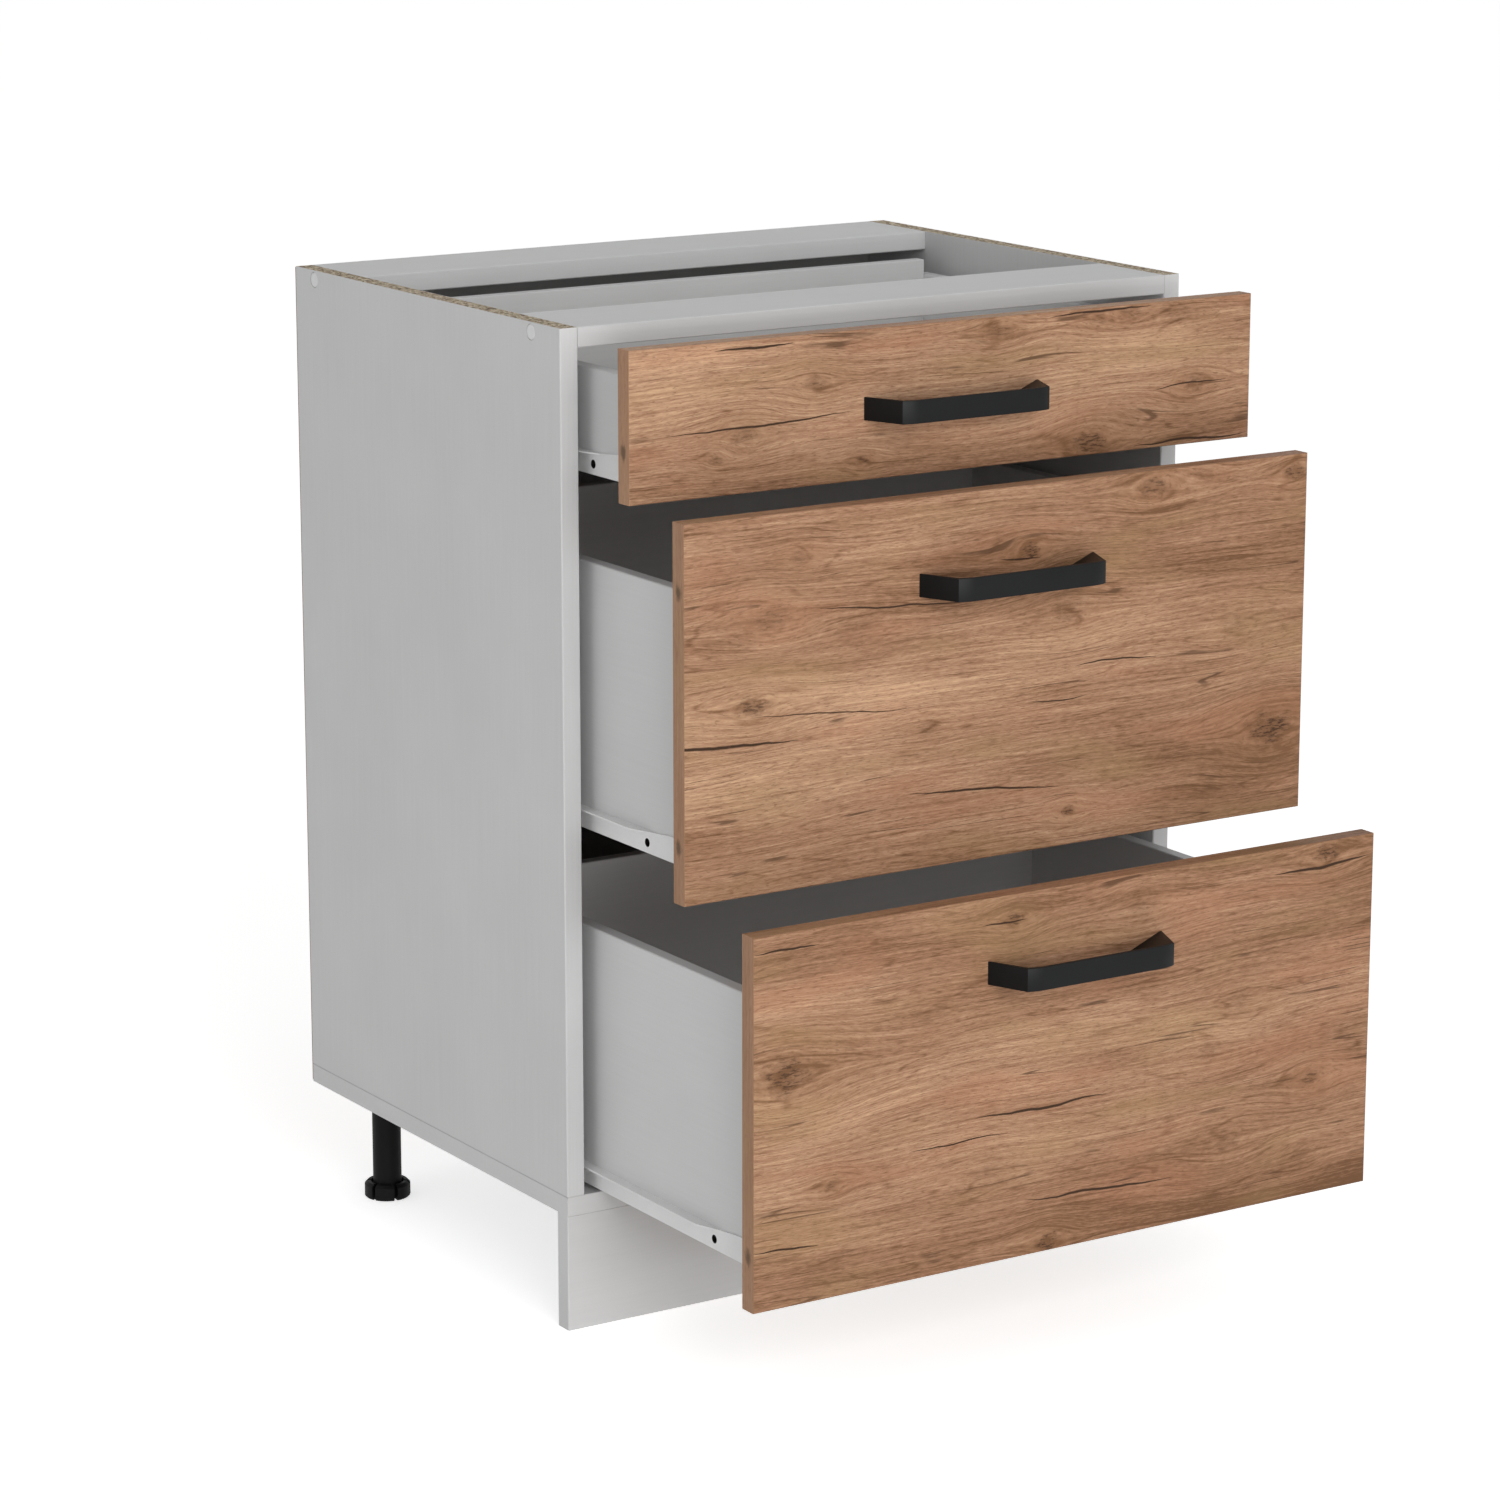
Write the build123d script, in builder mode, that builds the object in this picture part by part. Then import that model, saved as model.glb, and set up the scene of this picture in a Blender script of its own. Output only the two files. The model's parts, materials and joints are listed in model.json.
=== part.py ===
from build123d import *
import os

# Kitchen base cabinet with three drawers on roller runners, drawers standing partly open.
# Frame: origin on the floor, mid-width, in the plane of the carcass front.
# +X to the right, +Y towards the wall, +Z up. All lengths in millimetres.

# Carcass
CABINET_WIDTH = 600.0
CABINET_HEIGHT = 816.0
CARCASS_DEPTH = 444.0
BOARD = 16.0
BACK_THICKNESS = 3.0
BACK_INSET = 1.0
PLINTH_HEIGHT = 97.0
RAIL_WIDTH = 90.0
EDGE_BREAK = 0.8
SEAM_BREAK = 0.5

# Radial clearances of fixings in their holes, and of parts that turn or slide on each other
HOLE_CLEARANCE = 0.1
RUNNING_CLEARANCE = 0.05

# Drawer fronts, listed from the top drawer to the bottom drawer; those below the top one are equal
FRONT_THICKNESS = 16.0
FRONT_SIDE_REVEAL = 2.0
FRONT_TOP_REVEAL = 5.0
FRONT_GAP = 2.0
TOP_FRONT_HEIGHT = 119.0
FRONT_EDGE_RADIUS = 1.0
DRAWER_OPENINGS = (83.0, 161.0, 258.0)

# Drawer boxes
DRAWER_BOARD = 12.0
DRAWER_INSIDE_DEPTH = 400.0
DRAWER_SIDE_DROPS = (37.0, 80.5, 80.5)
DRAWER_BOTTOM_THICKNESS = 3.0
GROOVE_RISE = 10.0
GROOVE_DEPTH = 6.0
GROOVE_CLEARANCE = 0.1
GROOVE_END_CLEARANCE = 0.3

# Roller runners
RUNNER_GAP = 12.5
RUNNER_RISES = (8.0, 18.5, 19.5)
RUNNER_LENGTH = 400.0
RUNNER_SHEET = 1.2
RUNNER_SETBACK = 18.0
LIP_RISE = 16.8
LIP_WIDTH = 9.4
LIP_START = 70.0
LIP_TAPER = 25.0
LIP_HEADROOM = 1.0
FRONT_WEB_EXTRA = 2.5
FRONT_WEB_LENGTH = 46.0
CHANNEL_MARGIN = 1.5
RUNNER_HOLE_PLACE = 80.0
RUNNER_HOLE_RISE = 8.3
RUNNER_HOLE_DIAMETER = 6.8
RUNNER_PILOT_DEPTH = 9.0
RUNNER_SCREW_PLACES = (37.0, 165.0, 325.0)
RUNNER_SCREW_HOLE_DIAMETER = 4.5
ROLLER_DIAMETER = 18.0
ROLLER_WIDTH = 7.4
ROLLER_INSET = 12.0
ROLLER_CLEARANCE = 0.3
ROLLER_HUB_DIAMETER = 10.0
ROLLER_DISH_DEPTH = 1.0
ROLLER_EDGE = 0.7
AXLE_DIAMETER = 4.0
AXLE_HEAD_DIAMETER = 6.5
AXLE_HEAD = 0.8

# Bow handles
HANDLE_HOLE_SPACING = 160.0
HANDLE_FOOT_MARGIN = 5.0
HANDLE_FOOT_WIDTH = 8.0
HANDLE_HEIGHT = 18.5
HANDLE_STANDOFF = 36.5
HANDLE_BAR = 7.5
HANDLE_SHOULDER = 6.0
HANDLE_END_SPLAY = 14.0
HANDLE_CORNER = 11.0
HANDLE_GAP_HALF = 40.0
HANDLE_ROUND = 3.0
HANDLE_CREASE = 1.0
HANDLE_EDGE = 0.9
HANDLE_DROPS = (62.5, 69.0, 59.5)
HANDLE_SCREW_DIAMETER = 4.0
HANDLE_SCREW_GRIP = 5.0
HANDLE_SCREW_HEAD_DIAMETER = 8.0
HANDLE_SCREW_HEAD = 2.4

# Cam connectors and screws of the drawer boxes
CAM_DIAMETER = 15.0
CAM_DEPTH = 9.5
CAM_PLACE = 24.0
CAM_LOW_RISE = 32.0
CAM_TOP_MARGIN = 20.0
CAM_SLOT_WIDTH = 1.6
CAM_SLOT_DEPTH = 1.2
CAM_SLOT_LENGTH = 9.0
CAM_BOLT_DIAMETER = 6.0
CAM_BOLT_GRIP = 11.0
BOX_SCREW_DIAMETER = 3.5
BOX_SCREW_LENGTH = 35.0
BOX_SCREW_HEAD_DIAMETER = 7.0
BOX_SCREW_HEAD = 1.8
BOX_SCREW_LOW_RISE = 32.0
BOX_SCREW_TOP_MARGIN = 15.0

# Carcass fixings
CONFIRMAT_LENGTH = 50.0
CONFIRMAT_HEAD_DIAMETER = 9.4
CONFIRMAT_HEAD = 3.2
CONFIRMAT_SHANK_DIAMETER = 7.0
CONFIRMAT_THREAD_DIAMETER = 5.0
CONFIRMAT_TIP = 4.0
CAP_DIAMETER = 13.0
CAP_THICKNESS = 1.6
CAP_EDGE = 1.2
RAIL_SCREW_FRONT_INSET = 45.0
RAIL_SCREW_BACK_INSET = 33.0
BOTTOM_SCREW_INSET = 60.0
DOWEL_DIAMETER = 8.0
DOWEL_LENGTH = 30.0
DOWEL_OFFSET = 27.0
DOWEL_IN_SIDE = 11.0
NAIL_DIAMETER = 1.6
NAIL_LENGTH = 20.0
NAIL_HEAD_DIAMETER = 4.5
NAIL_HEAD = 0.7
NAILS_PER_SIDE = 5
NAILS_PER_EDGE = 3
NAIL_END_INSET = 60.0

# Plinth brackets
BRACKET_COUNT = 3
BRACKET_SPACING = 220.0
BRACKET_WIDTH = 36.0
BRACKET_LEG = 32.0
BRACKET_SHEET = 2.0
BRACKET_HOLE_DIAMETER = 5.0
BRACKET_HOLE_PLACE = 20.0

# Rear legs with levelling feet
LEG_SIDE_INSET = 42.0
LEG_BACK_INSET = 59.0
LEG_FLANGE_SIZE = 60.0
LEG_FLANGE_THICKNESS = 3.0
LEG_FLANGE_CORNER = 9.0
LEG_FLANGE_HOLE_INSET = 8.0
LEG_FLANGE_HOLE_DIAMETER = 4.5
LEG_COLLAR_DIAMETER = 36.0
LEG_COLLAR = 6.0
LEG_COLUMN_DIAMETER = 25.0
FOOT_STUD_DIAMETER = 12.0
FOOT_STUD_LENGTH = 60.0
FOOT_STUD_HEADROOM = 2.0
FOOT_DIAMETER = 40.0
FOOT_BASE = 4.0
FOOT_COLLAR_HEIGHT = 14.0
FOOT_COLLAR_WALL = 5.5
FOOT_CHAMFER = 2.5
FOOT_LOBES = 6
FOOT_SLOT_WIDTH = 3.2
FOOT_SLOT_TURN = 24.0
FOOT_SEAT_GAP = 0.3

# Places that several pieces share
HALF_WIDTH = CABINET_WIDTH / 2
INNER_HALF = HALF_WIDTH - BOARD
PANEL_DEPTH = CARCASS_DEPTH - BACK_THICKNESS
TALL_FRONTS_TOP = CABINET_HEIGHT - FRONT_TOP_REVEAL - TOP_FRONT_HEIGHT
FRONT_STEP = (TALL_FRONTS_TOP - PLINTH_HEIGHT) / (len(DRAWER_OPENINGS) - 1)
BOTTOM_TOP = PLINTH_HEIGHT + BOARD
RAIL_BASE = CABINET_HEIGHT - BOARD
RAIL_MIDDLE = CABINET_HEIGHT - BOARD / 2
BOTTOM_MIDDLE = PLINTH_HEIGHT + BOARD / 2
FRONT_SCREW_Y = RAIL_SCREW_FRONT_INSET
BACK_SCREW_Y = PANEL_DEPTH - RAIL_SCREW_BACK_INSET
CONFIRMAT_GRIP = CONFIRMAT_LENGTH - BOARD
DRAWER_HALF = INNER_HALF - RUNNER_GAP
DRAWER_INNER_HALF = DRAWER_HALF - DRAWER_BOARD
DRAWER_LENGTH = DRAWER_INSIDE_DEPTH + DRAWER_BOARD
ROLLER_RADIUS = ROLLER_DIAMETER / 2
AXLE_REACH = ROLLER_WIDTH - ROLLER_DISH_DEPTH + 2 * ROLLER_CLEARANCE
LEG_X = HALF_WIDTH - LEG_SIDE_INSET
LEG_Y = CARCASS_DEPTH - LEG_BACK_INSET
LEG_TOP = PLINTH_HEIGHT - LEG_FLANGE_THICKNESS
LEG_BOTTOM = FOOT_BASE + FOOT_SEAT_GAP
SIDES = {"left": -1, "right": 1}

os.makedirs("parts", exist_ok=True)


def save(builder, name):
    """Label a finished piece and write it to its own file."""
    builder.part.label = name
    export_step(builder.part, f"parts/{name}.step")


def block(low, high, mode=Mode.ADD):
    """Board between two corners, in the part being built."""
    middle = tuple((a + b) / 2 for a, b in zip(low, high))
    size = [b - a for a, b in zip(low, high)]
    with Locations(middle):
        Box(*size, mode=mode)


def rods(starts, direction, diameter, length, mode=Mode.ADD):
    """Round bars, or round holes, running from each start along one direction."""
    with Locations(*[Plane(origin=start, z_dir=direction) for start in starts]):
        Cylinder(diameter / 2, length, align=(Align.CENTER, Align.CENTER, Align.MIN), mode=mode)


def bores(starts, direction, diameter, depth):
    """Holes for fixings of the given diameter, with the common clearance."""
    rods(starts, direction, diameter + 2 * HOLE_CLEARANCE, depth, Mode.SUBTRACT)


def outward_plane(sign, y_start, length):
    """Cross-section plane: local x points away from mid-width, local y up, extruding fills the length."""
    if sign < 0:
        return Plane(origin=(0, y_start, 0), x_dir=(-1, 0, 0), z_dir=(0, 1, 0))
    return Plane(origin=(0, y_start + length, 0), x_dir=(1, 0, 0), z_dir=(0, -1, 0))


class Drawer:
    """Heights and places of one drawer, numbered from the top."""

    def __init__(self, number):
        index = number - 1
        self.number = number
        self.name = f"drawer_{number}"
        front_height = TOP_FRONT_HEIGHT if number == 1 else FRONT_STEP - FRONT_GAP
        board_height = front_height - DRAWER_SIDE_DROPS[index]
        self.front_base = PLINTH_HEIGHT + (len(DRAWER_OPENINGS) - number) * FRONT_STEP
        self.front_top = self.front_base + front_height
        self.back_of_front = -DRAWER_OPENINGS[index]
        self.face = self.back_of_front - FRONT_THICKNESS
        self.box_back = self.back_of_front + DRAWER_LENGTH
        self.runner_base = self.front_base + RUNNER_RISES[index]
        self.side_base = self.runner_base + RUNNER_SHEET
        self.side_top = self.side_base + board_height
        self.groove_base = self.side_base + GROOVE_RISE
        self.groove_top = self.groove_base + DRAWER_BOTTOM_THICKNESS + 2 * GROOVE_CLEARANCE
        self.bottom_base = self.groove_base + GROOVE_CLEARANCE
        self.bottom_top = self.bottom_base + DRAWER_BOTTOM_THICKNESS
        self.back_top = self.bottom_top + board_height
        self.lip_base = self.runner_base + LIP_RISE
        self.roller_z = self.lip_base - ROLLER_CLEARANCE - ROLLER_RADIUS
        self.channel_floor = self.roller_z - ROLLER_RADIUS - ROLLER_CLEARANCE
        self.channel_roof = self.lip_base + RUNNER_SHEET + LIP_HEADROOM
        self.rear_roller_y = self.back_of_front + RUNNER_LENGTH - ROLLER_INSET
        self.handle_z = self.front_top - HANDLE_DROPS[index]
        self.cam_heights = (self.side_base + CAM_LOW_RISE, self.side_top - CAM_TOP_MARGIN)
        self.screw_heights = (self.side_base + BOX_SCREW_LOW_RISE, self.side_top - BOX_SCREW_TOP_MARGIN)

    def handle_holes(self, y):
        """Points of the handle's two screws in one plane."""
        return [(sign * HANDLE_HOLE_SPACING / 2, y, self.handle_z) for sign in SIDES.values()]

    def cam_points(self, sign):
        """Centres of the cams on the inner face of one side."""
        y = self.back_of_front + CAM_PLACE
        return [(sign * DRAWER_INNER_HALF, y, z) for z in self.cam_heights]

    def bolt_points(self, sign):
        """Points where the cam bolts of one side cross the back face of the front."""
        x = sign * (DRAWER_HALF - DRAWER_BOARD / 2)
        return [(x, self.back_of_front, z) for z in self.cam_heights]

    def screw_points(self, x):
        """Points, at one x, on the screws that hold the back board."""
        y = self.box_back - DRAWER_BOARD / 2
        return [(x, y, z) for z in self.screw_heights]


DRAWERS = [Drawer(index + 1) for index in range(len(DRAWER_OPENINGS))]


def rail_points(x, offset=0.0):
    """Points at one x on the lines of the rail screws, or of the dowels at an offset from them."""
    return [(x, screw_y - offset, RAIL_MIDDLE) for screw_y in (FRONT_SCREW_Y, BACK_SCREW_Y)]


def bottom_points(sign, z):
    """Points at one height on the screws driven up through the bottom panel into a side panel."""
    x = sign * (HALF_WIDTH - BOARD / 2)
    return [(x, y, z) for y in (BOTTOM_SCREW_INSET, PANEL_DEPTH - BOTTOM_SCREW_INSET)]


def spread(low, high, count):
    """Evenly spaced places from one end to the other."""
    return [low + (high - low) * i / (count - 1) for i in range(count)]


def side_nails(sign, y):
    """Points of the nails that hold the back panel to one side panel."""
    heights = spread(BOTTOM_TOP + NAIL_END_INSET, RAIL_BASE - NAIL_END_INSET, NAILS_PER_SIDE)
    return [(sign * (HALF_WIDTH - BOARD / 2), y, z) for z in heights]


def edge_nails(z, y):
    """Points of the nails that hold the back panel to the bottom panel or to the back rail."""
    across = spread(-INNER_HALF + NAIL_END_INSET, INNER_HALF - NAIL_END_INSET, NAILS_PER_EDGE)
    return [(x, y, z) for x in across]


def all_nails(y):
    """Points of all the nails of the back panel."""
    sides = side_nails(-1, y) + side_nails(1, y)
    return sides + edge_nails(BOTTOM_MIDDLE, y) + edge_nails(RAIL_MIDDLE, y)


def bore_nails(starts):
    """Pilot holes of the nails in the board behind which the back panel lies."""
    bores(starts, (0, -1, 0), NAIL_DIAMETER, NAIL_LENGTH - BACK_THICKNESS)


# Side panels: stand on the bottom panel, with raw top edges under the worktop
for side, sign in SIDES.items():
    with BuildPart() as side_panel:
        block(
            (min(sign * INNER_HALF, sign * HALF_WIDTH), 0, BOTTOM_TOP),
            (max(sign * INNER_HALF, sign * HALF_WIDTH), PANEL_DEPTH, CABINET_HEIGHT),
        )
        chamfer(side_panel.faces().sort_by(Axis.Y)[0].edges().filter_by(Axis.Z), EDGE_BREAK)
        foot_edges = side_panel.edges().filter_by(Axis.Y).group_by(Axis.Z)[0].sort_by(Axis.X)
        chamfer(foot_edges[-1] if sign > 0 else foot_edges[0], SEAM_BREAK)
        inward = (-sign, 0, 0)
        screw_points = rail_points(sign * HALF_WIDTH)
        bores(screw_points, inward, CAP_DIAMETER, CAP_THICKNESS)
        bores(screw_points, inward, CONFIRMAT_HEAD_DIAMETER, CAP_THICKNESS + CONFIRMAT_HEAD)
        bores(screw_points, inward, CONFIRMAT_SHANK_DIAMETER, BOARD)
        dowel_points = rail_points(sign * INNER_HALF, DOWEL_OFFSET)
        bores(dowel_points, (sign, 0, 0), DOWEL_DIAMETER, DOWEL_IN_SIDE)
        bores(bottom_points(sign, BOTTOM_TOP), (0, 0, 1), CONFIRMAT_THREAD_DIAMETER, CONFIRMAT_GRIP)
        bore_nails(side_nails(sign, PANEL_DEPTH))
    save(side_panel, f"side_panel_{side}")

# Bottom panel: runs the full width under both side panels
with BuildPart() as bottom_panel:
    block((-HALF_WIDTH, 0, PLINTH_HEIGHT), (HALF_WIDTH, PANEL_DEPTH, BOTTOM_TOP))
    chamfer(bottom_panel.edges().filter_by(Axis.Y).group_by(Axis.Z)[-1], SEAM_BREAK)
    screw_points = bottom_points(-1, PLINTH_HEIGHT) + bottom_points(1, PLINTH_HEIGHT)
    bores(screw_points, (0, 0, 1), CONFIRMAT_HEAD_DIAMETER, CONFIRMAT_HEAD)
    bores(screw_points, (0, 0, 1), CONFIRMAT_SHANK_DIAMETER, BOARD)
    bore_nails(edge_nails(BOTTOM_MIDDLE, PANEL_DEPTH))
save(bottom_panel, "bottom_panel")


def top_rail(rail_front, screw_y, nail_points):
    """Rail that lies flat between the side panels, with holes for any nails of the back panel."""
    with BuildPart() as rail:
        rail_back = rail_front + RAIL_WIDTH
        block((-INNER_HALF, rail_front, RAIL_BASE), (INNER_HALF, rail_back, CABINET_HEIGHT))
        chamfer(rail.faces().sort_by(Axis.Y)[0].edges().filter_by(Axis.X), EDGE_BREAK)
        for sign in SIDES.values():
            end = (sign * INNER_HALF, screw_y, RAIL_MIDDLE)
            bores([end], (-sign, 0, 0), CONFIRMAT_THREAD_DIAMETER, CONFIRMAT_GRIP)
            dowel_end = (sign * INNER_HALF, screw_y - DOWEL_OFFSET, RAIL_MIDDLE)
            bores([dowel_end], (-sign, 0, 0), DOWEL_DIAMETER, DOWEL_LENGTH - DOWEL_IN_SIDE)
        if nail_points:
            bore_nails(nail_points)
    return rail


save(top_rail(0.0, FRONT_SCREW_Y, []), "front_rail")
rear_edge_nails = edge_nails(RAIL_MIDDLE, PANEL_DEPTH)
save(top_rail(PANEL_DEPTH - RAIL_WIDTH, BACK_SCREW_Y, rear_edge_nails), "back_rail")

# Back panel: hardboard nailed over the rear edges
with BuildPart() as back_panel:
    block(
        (-HALF_WIDTH + BACK_INSET, PANEL_DEPTH, PLINTH_HEIGHT + BACK_INSET),
        (HALF_WIDTH - BACK_INSET, CARCASS_DEPTH, CABINET_HEIGHT - BACK_INSET),
    )
    bores(all_nails(CARCASS_DEPTH), (0, -1, 0), NAIL_HEAD_DIAMETER, NAIL_HEAD)
    bores(all_nails(CARCASS_DEPTH), (0, -1, 0), NAIL_DIAMETER, BACK_THICKNESS)
save(back_panel, "back_panel")

# Nails with flush heads
with BuildPart() as back_panel_nails:
    rods(all_nails(CARCASS_DEPTH), (0, -1, 0), NAIL_HEAD_DIAMETER, NAIL_HEAD)
    rods(all_nails(CARCASS_DEPTH), (0, -1, 0), NAIL_DIAMETER, NAIL_LENGTH)
save(back_panel_nails, "back_panel_nails")

# Plinth: carries the front of the cabinet, flush with the carcass, its lower edge square on the floor
with BuildPart() as plinth:
    block((-HALF_WIDTH, 0, 0), (HALF_WIDTH, BOARD, PLINTH_HEIGHT))
    chamfer(plinth.faces().sort_by(Axis.Y)[0].edges().sort_by(Axis.Z)[1:], EDGE_BREAK)
save(plinth, "plinth")

# Plinth brackets: bent steel angles between the plinth and the bottom panel
with BuildPart() as plinth_brackets:
    bracket_start = -(BRACKET_COUNT - 1) / 2 * BRACKET_SPACING - BRACKET_WIDTH / 2
    for i in range(BRACKET_COUNT):
        with BuildSketch(Plane.YZ.offset(bracket_start + i * BRACKET_SPACING)):
            with BuildLine():
                FilletPolyline(
                    (BOARD + BRACKET_SHEET / 2, PLINTH_HEIGHT - BRACKET_LEG),
                    (BOARD + BRACKET_SHEET / 2, PLINTH_HEIGHT - BRACKET_SHEET / 2),
                    (BOARD + BRACKET_LEG, PLINTH_HEIGHT - BRACKET_SHEET / 2),
                    radius=BRACKET_SHEET,
                )
                offset(amount=BRACKET_SHEET / 2, side=Side.BOTH)
            make_face()
        extrude(amount=BRACKET_WIDTH)
    middles = [bracket_start + BRACKET_WIDTH / 2 + i * BRACKET_SPACING for i in range(BRACKET_COUNT)]
    plinth_holes = [(x, BOARD, PLINTH_HEIGHT - BRACKET_HOLE_PLACE) for x in middles]
    panel_holes = [(x, BOARD + BRACKET_HOLE_PLACE, PLINTH_HEIGHT) for x in middles]
    rods(plinth_holes, (0, 1, 0), BRACKET_HOLE_DIAMETER, BRACKET_SHEET, Mode.SUBTRACT)
    rods(panel_holes, (0, 0, -1), BRACKET_HOLE_DIAMETER, BRACKET_SHEET, Mode.SUBTRACT)
save(plinth_brackets, "plinth_brackets")

# Confirmat screws: cylinder head, plain shank and thread with a conical tip
with BuildPart() as confirmat:
    with BuildSketch(Plane.XZ):
        with BuildLine():
            Polyline(
                (0, 0),
                (CONFIRMAT_HEAD_DIAMETER / 2, 0),
                (CONFIRMAT_HEAD_DIAMETER / 2, CONFIRMAT_HEAD),
                (CONFIRMAT_SHANK_DIAMETER / 2, CONFIRMAT_HEAD),
                (CONFIRMAT_SHANK_DIAMETER / 2, BOARD - CAP_THICKNESS),
                (CONFIRMAT_THREAD_DIAMETER / 2, BOARD - CAP_THICKNESS),
                (CONFIRMAT_THREAD_DIAMETER / 2, CONFIRMAT_LENGTH - CAP_THICKNESS - CONFIRMAT_TIP),
                (0, CONFIRMAT_LENGTH - CAP_THICKNESS),
                close=True,
            )
        make_face()
    revolve(axis=Axis.Z)

with BuildPart() as confirmat_screws:
    for sign in SIDES.values():
        rail_seats = rail_points(sign * (HALF_WIDTH - CAP_THICKNESS))
        with Locations(*[Plane(origin=seat, z_dir=(-sign, 0, 0)) for seat in rail_seats]):
            add(confirmat.part)
        with Locations(*bottom_points(sign, PLINTH_HEIGHT)):
            add(confirmat.part)
save(confirmat_screws, "confirmat_screws")

# Cover caps: plastic discs with round edges, let in flush over the rail screws
with BuildPart() as cover_caps:
    for sign in SIDES.values():
        rods(rail_points(sign * HALF_WIDTH), (-sign, 0, 0), CAP_DIAMETER, CAP_THICKNESS)
    face_groups = cover_caps.faces().group_by(Axis.X)
    fillet((face_groups[0] + face_groups[-1]).edges(), CAP_EDGE)
save(cover_caps, "cover_caps")

# Dowels that keep the rails from turning
with BuildPart() as rail_dowels:
    for sign in SIDES.values():
        dowel_ends = rail_points(sign * (INNER_HALF + DOWEL_IN_SIDE), DOWEL_OFFSET)
        rods(dowel_ends, (-sign, 0, 0), DOWEL_DIAMETER, DOWEL_LENGTH)
save(rail_dowels, "rail_dowels")

# Rear legs: screw-on flange, collar and hollow column
for side, sign in SIDES.items():
    with BuildPart() as rear_leg:
        with BuildSketch(Plane((sign * LEG_X, LEG_Y, LEG_TOP))):
            RectangleRounded(LEG_FLANGE_SIZE, LEG_FLANGE_SIZE, LEG_FLANGE_CORNER)
            hole_spacing = LEG_FLANGE_SIZE - 2 * LEG_FLANGE_HOLE_INSET
            with GridLocations(hole_spacing, hole_spacing, 2, 2):
                Circle(LEG_FLANGE_HOLE_DIAMETER / 2, mode=Mode.SUBTRACT)
        extrude(amount=LEG_FLANGE_THICKNESS)
        with Locations((sign * LEG_X, LEG_Y, LEG_TOP)):
            Cone(
                LEG_COLUMN_DIAMETER / 2,
                LEG_COLLAR_DIAMETER / 2,
                LEG_COLLAR,
                align=(Align.CENTER, Align.CENTER, Align.MAX),
            )
        column_start = (sign * LEG_X, LEG_Y, LEG_BOTTOM)
        rods([column_start], (0, 0, 1), LEG_COLUMN_DIAMETER, LEG_TOP - LEG_BOTTOM)
        stud_bore = FOOT_STUD_DIAMETER + 2 * RUNNING_CLEARANCE
        rods([column_start], (0, 0, 1), stud_bore, FOOT_STUD_LENGTH + FOOT_STUD_HEADROOM, Mode.SUBTRACT)
    save(rear_leg, f"rear_leg_{side}")

# Levelling feet: stud, base disc and a collar, split into grip lobes by slots through the rim
with BuildPart() as foot:
    foot_radius = FOOT_DIAMETER / 2
    with BuildSketch(Plane.XZ):
        with BuildLine():
            Polyline(
                (0, 0),
                (foot_radius - FOOT_CHAMFER / 2, 0),
                (foot_radius, FOOT_CHAMFER / 2),
                (foot_radius, FOOT_COLLAR_HEIGHT - FOOT_CHAMFER),
                (foot_radius - FOOT_CHAMFER, FOOT_COLLAR_HEIGHT),
                (foot_radius - FOOT_COLLAR_WALL, FOOT_COLLAR_HEIGHT),
                (foot_radius - FOOT_COLLAR_WALL, FOOT_BASE),
                (FOOT_STUD_DIAMETER / 2, FOOT_BASE),
                (FOOT_STUD_DIAMETER / 2, FOOT_BASE + FOOT_STUD_LENGTH),
                (0, FOOT_BASE + FOOT_STUD_LENGTH),
                close=True,
            )
        make_face()
    revolve(axis=Axis.Z)
    with BuildSketch(Plane.XY):
        with PolarLocations(foot_radius - FOOT_COLLAR_WALL / 2, FOOT_LOBES, start_angle=FOOT_SLOT_TURN):
            Rectangle(2 * FOOT_COLLAR_WALL, FOOT_SLOT_WIDTH)
    extrude(amount=FOOT_COLLAR_HEIGHT, mode=Mode.SUBTRACT)

for side, sign in SIDES.items():
    with BuildPart() as levelling_foot:
        with Locations((sign * LEG_X, LEG_Y, 0)):
            add(foot.part)
    save(levelling_foot, f"levelling_foot_{side}")

# Cabinet runners: steel channels screwed to the side panels, each with a riveted front roller axle
for drawer in DRAWERS:
    floor = drawer.channel_floor
    roof = drawer.channel_roof
    web_face = INNER_HALF - RUNNER_SHEET
    channel_edge = DRAWER_HALF + RUNNER_SHEET + CHANNEL_MARGIN
    front_roller_y = RUNNER_SETBACK + ROLLER_INSET
    for side, sign in SIDES.items():
        with BuildPart() as cabinet_runner:
            with BuildSketch(outward_plane(sign, RUNNER_SETBACK, RUNNER_LENGTH)):
                with BuildLine():
                    Polyline(
                        (INNER_HALF, floor - RUNNER_SHEET),
                        (INNER_HALF, roof + RUNNER_SHEET),
                        (channel_edge, roof + RUNNER_SHEET),
                        (channel_edge, roof),
                        (web_face, roof),
                        (web_face, floor),
                        (channel_edge, floor),
                        (channel_edge, floor - RUNNER_SHEET),
                        close=True,
                    )
                make_face()
            extrude(amount=RUNNER_LENGTH)
            axle_start = (sign * web_face, front_roller_y, drawer.roller_z)
            rods([axle_start], (-sign, 0, 0), AXLE_DIAMETER, AXLE_REACH)
            head_start = (sign * (web_face - AXLE_REACH), front_roller_y, drawer.roller_z)
            rods([head_start], (-sign, 0, 0), AXLE_HEAD_DIAMETER, AXLE_HEAD)
            for place in RUNNER_SCREW_PLACES:
                hole_start = (sign * web_face, RUNNER_SETBACK + place, (floor + roof) / 2)
                rods([hole_start], (sign, 0, 0), RUNNER_SCREW_HOLE_DIAMETER, RUNNER_SHEET, Mode.SUBTRACT)
        save(cabinet_runner, f"cabinet_runner_{side}_{drawer.number}")

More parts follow.
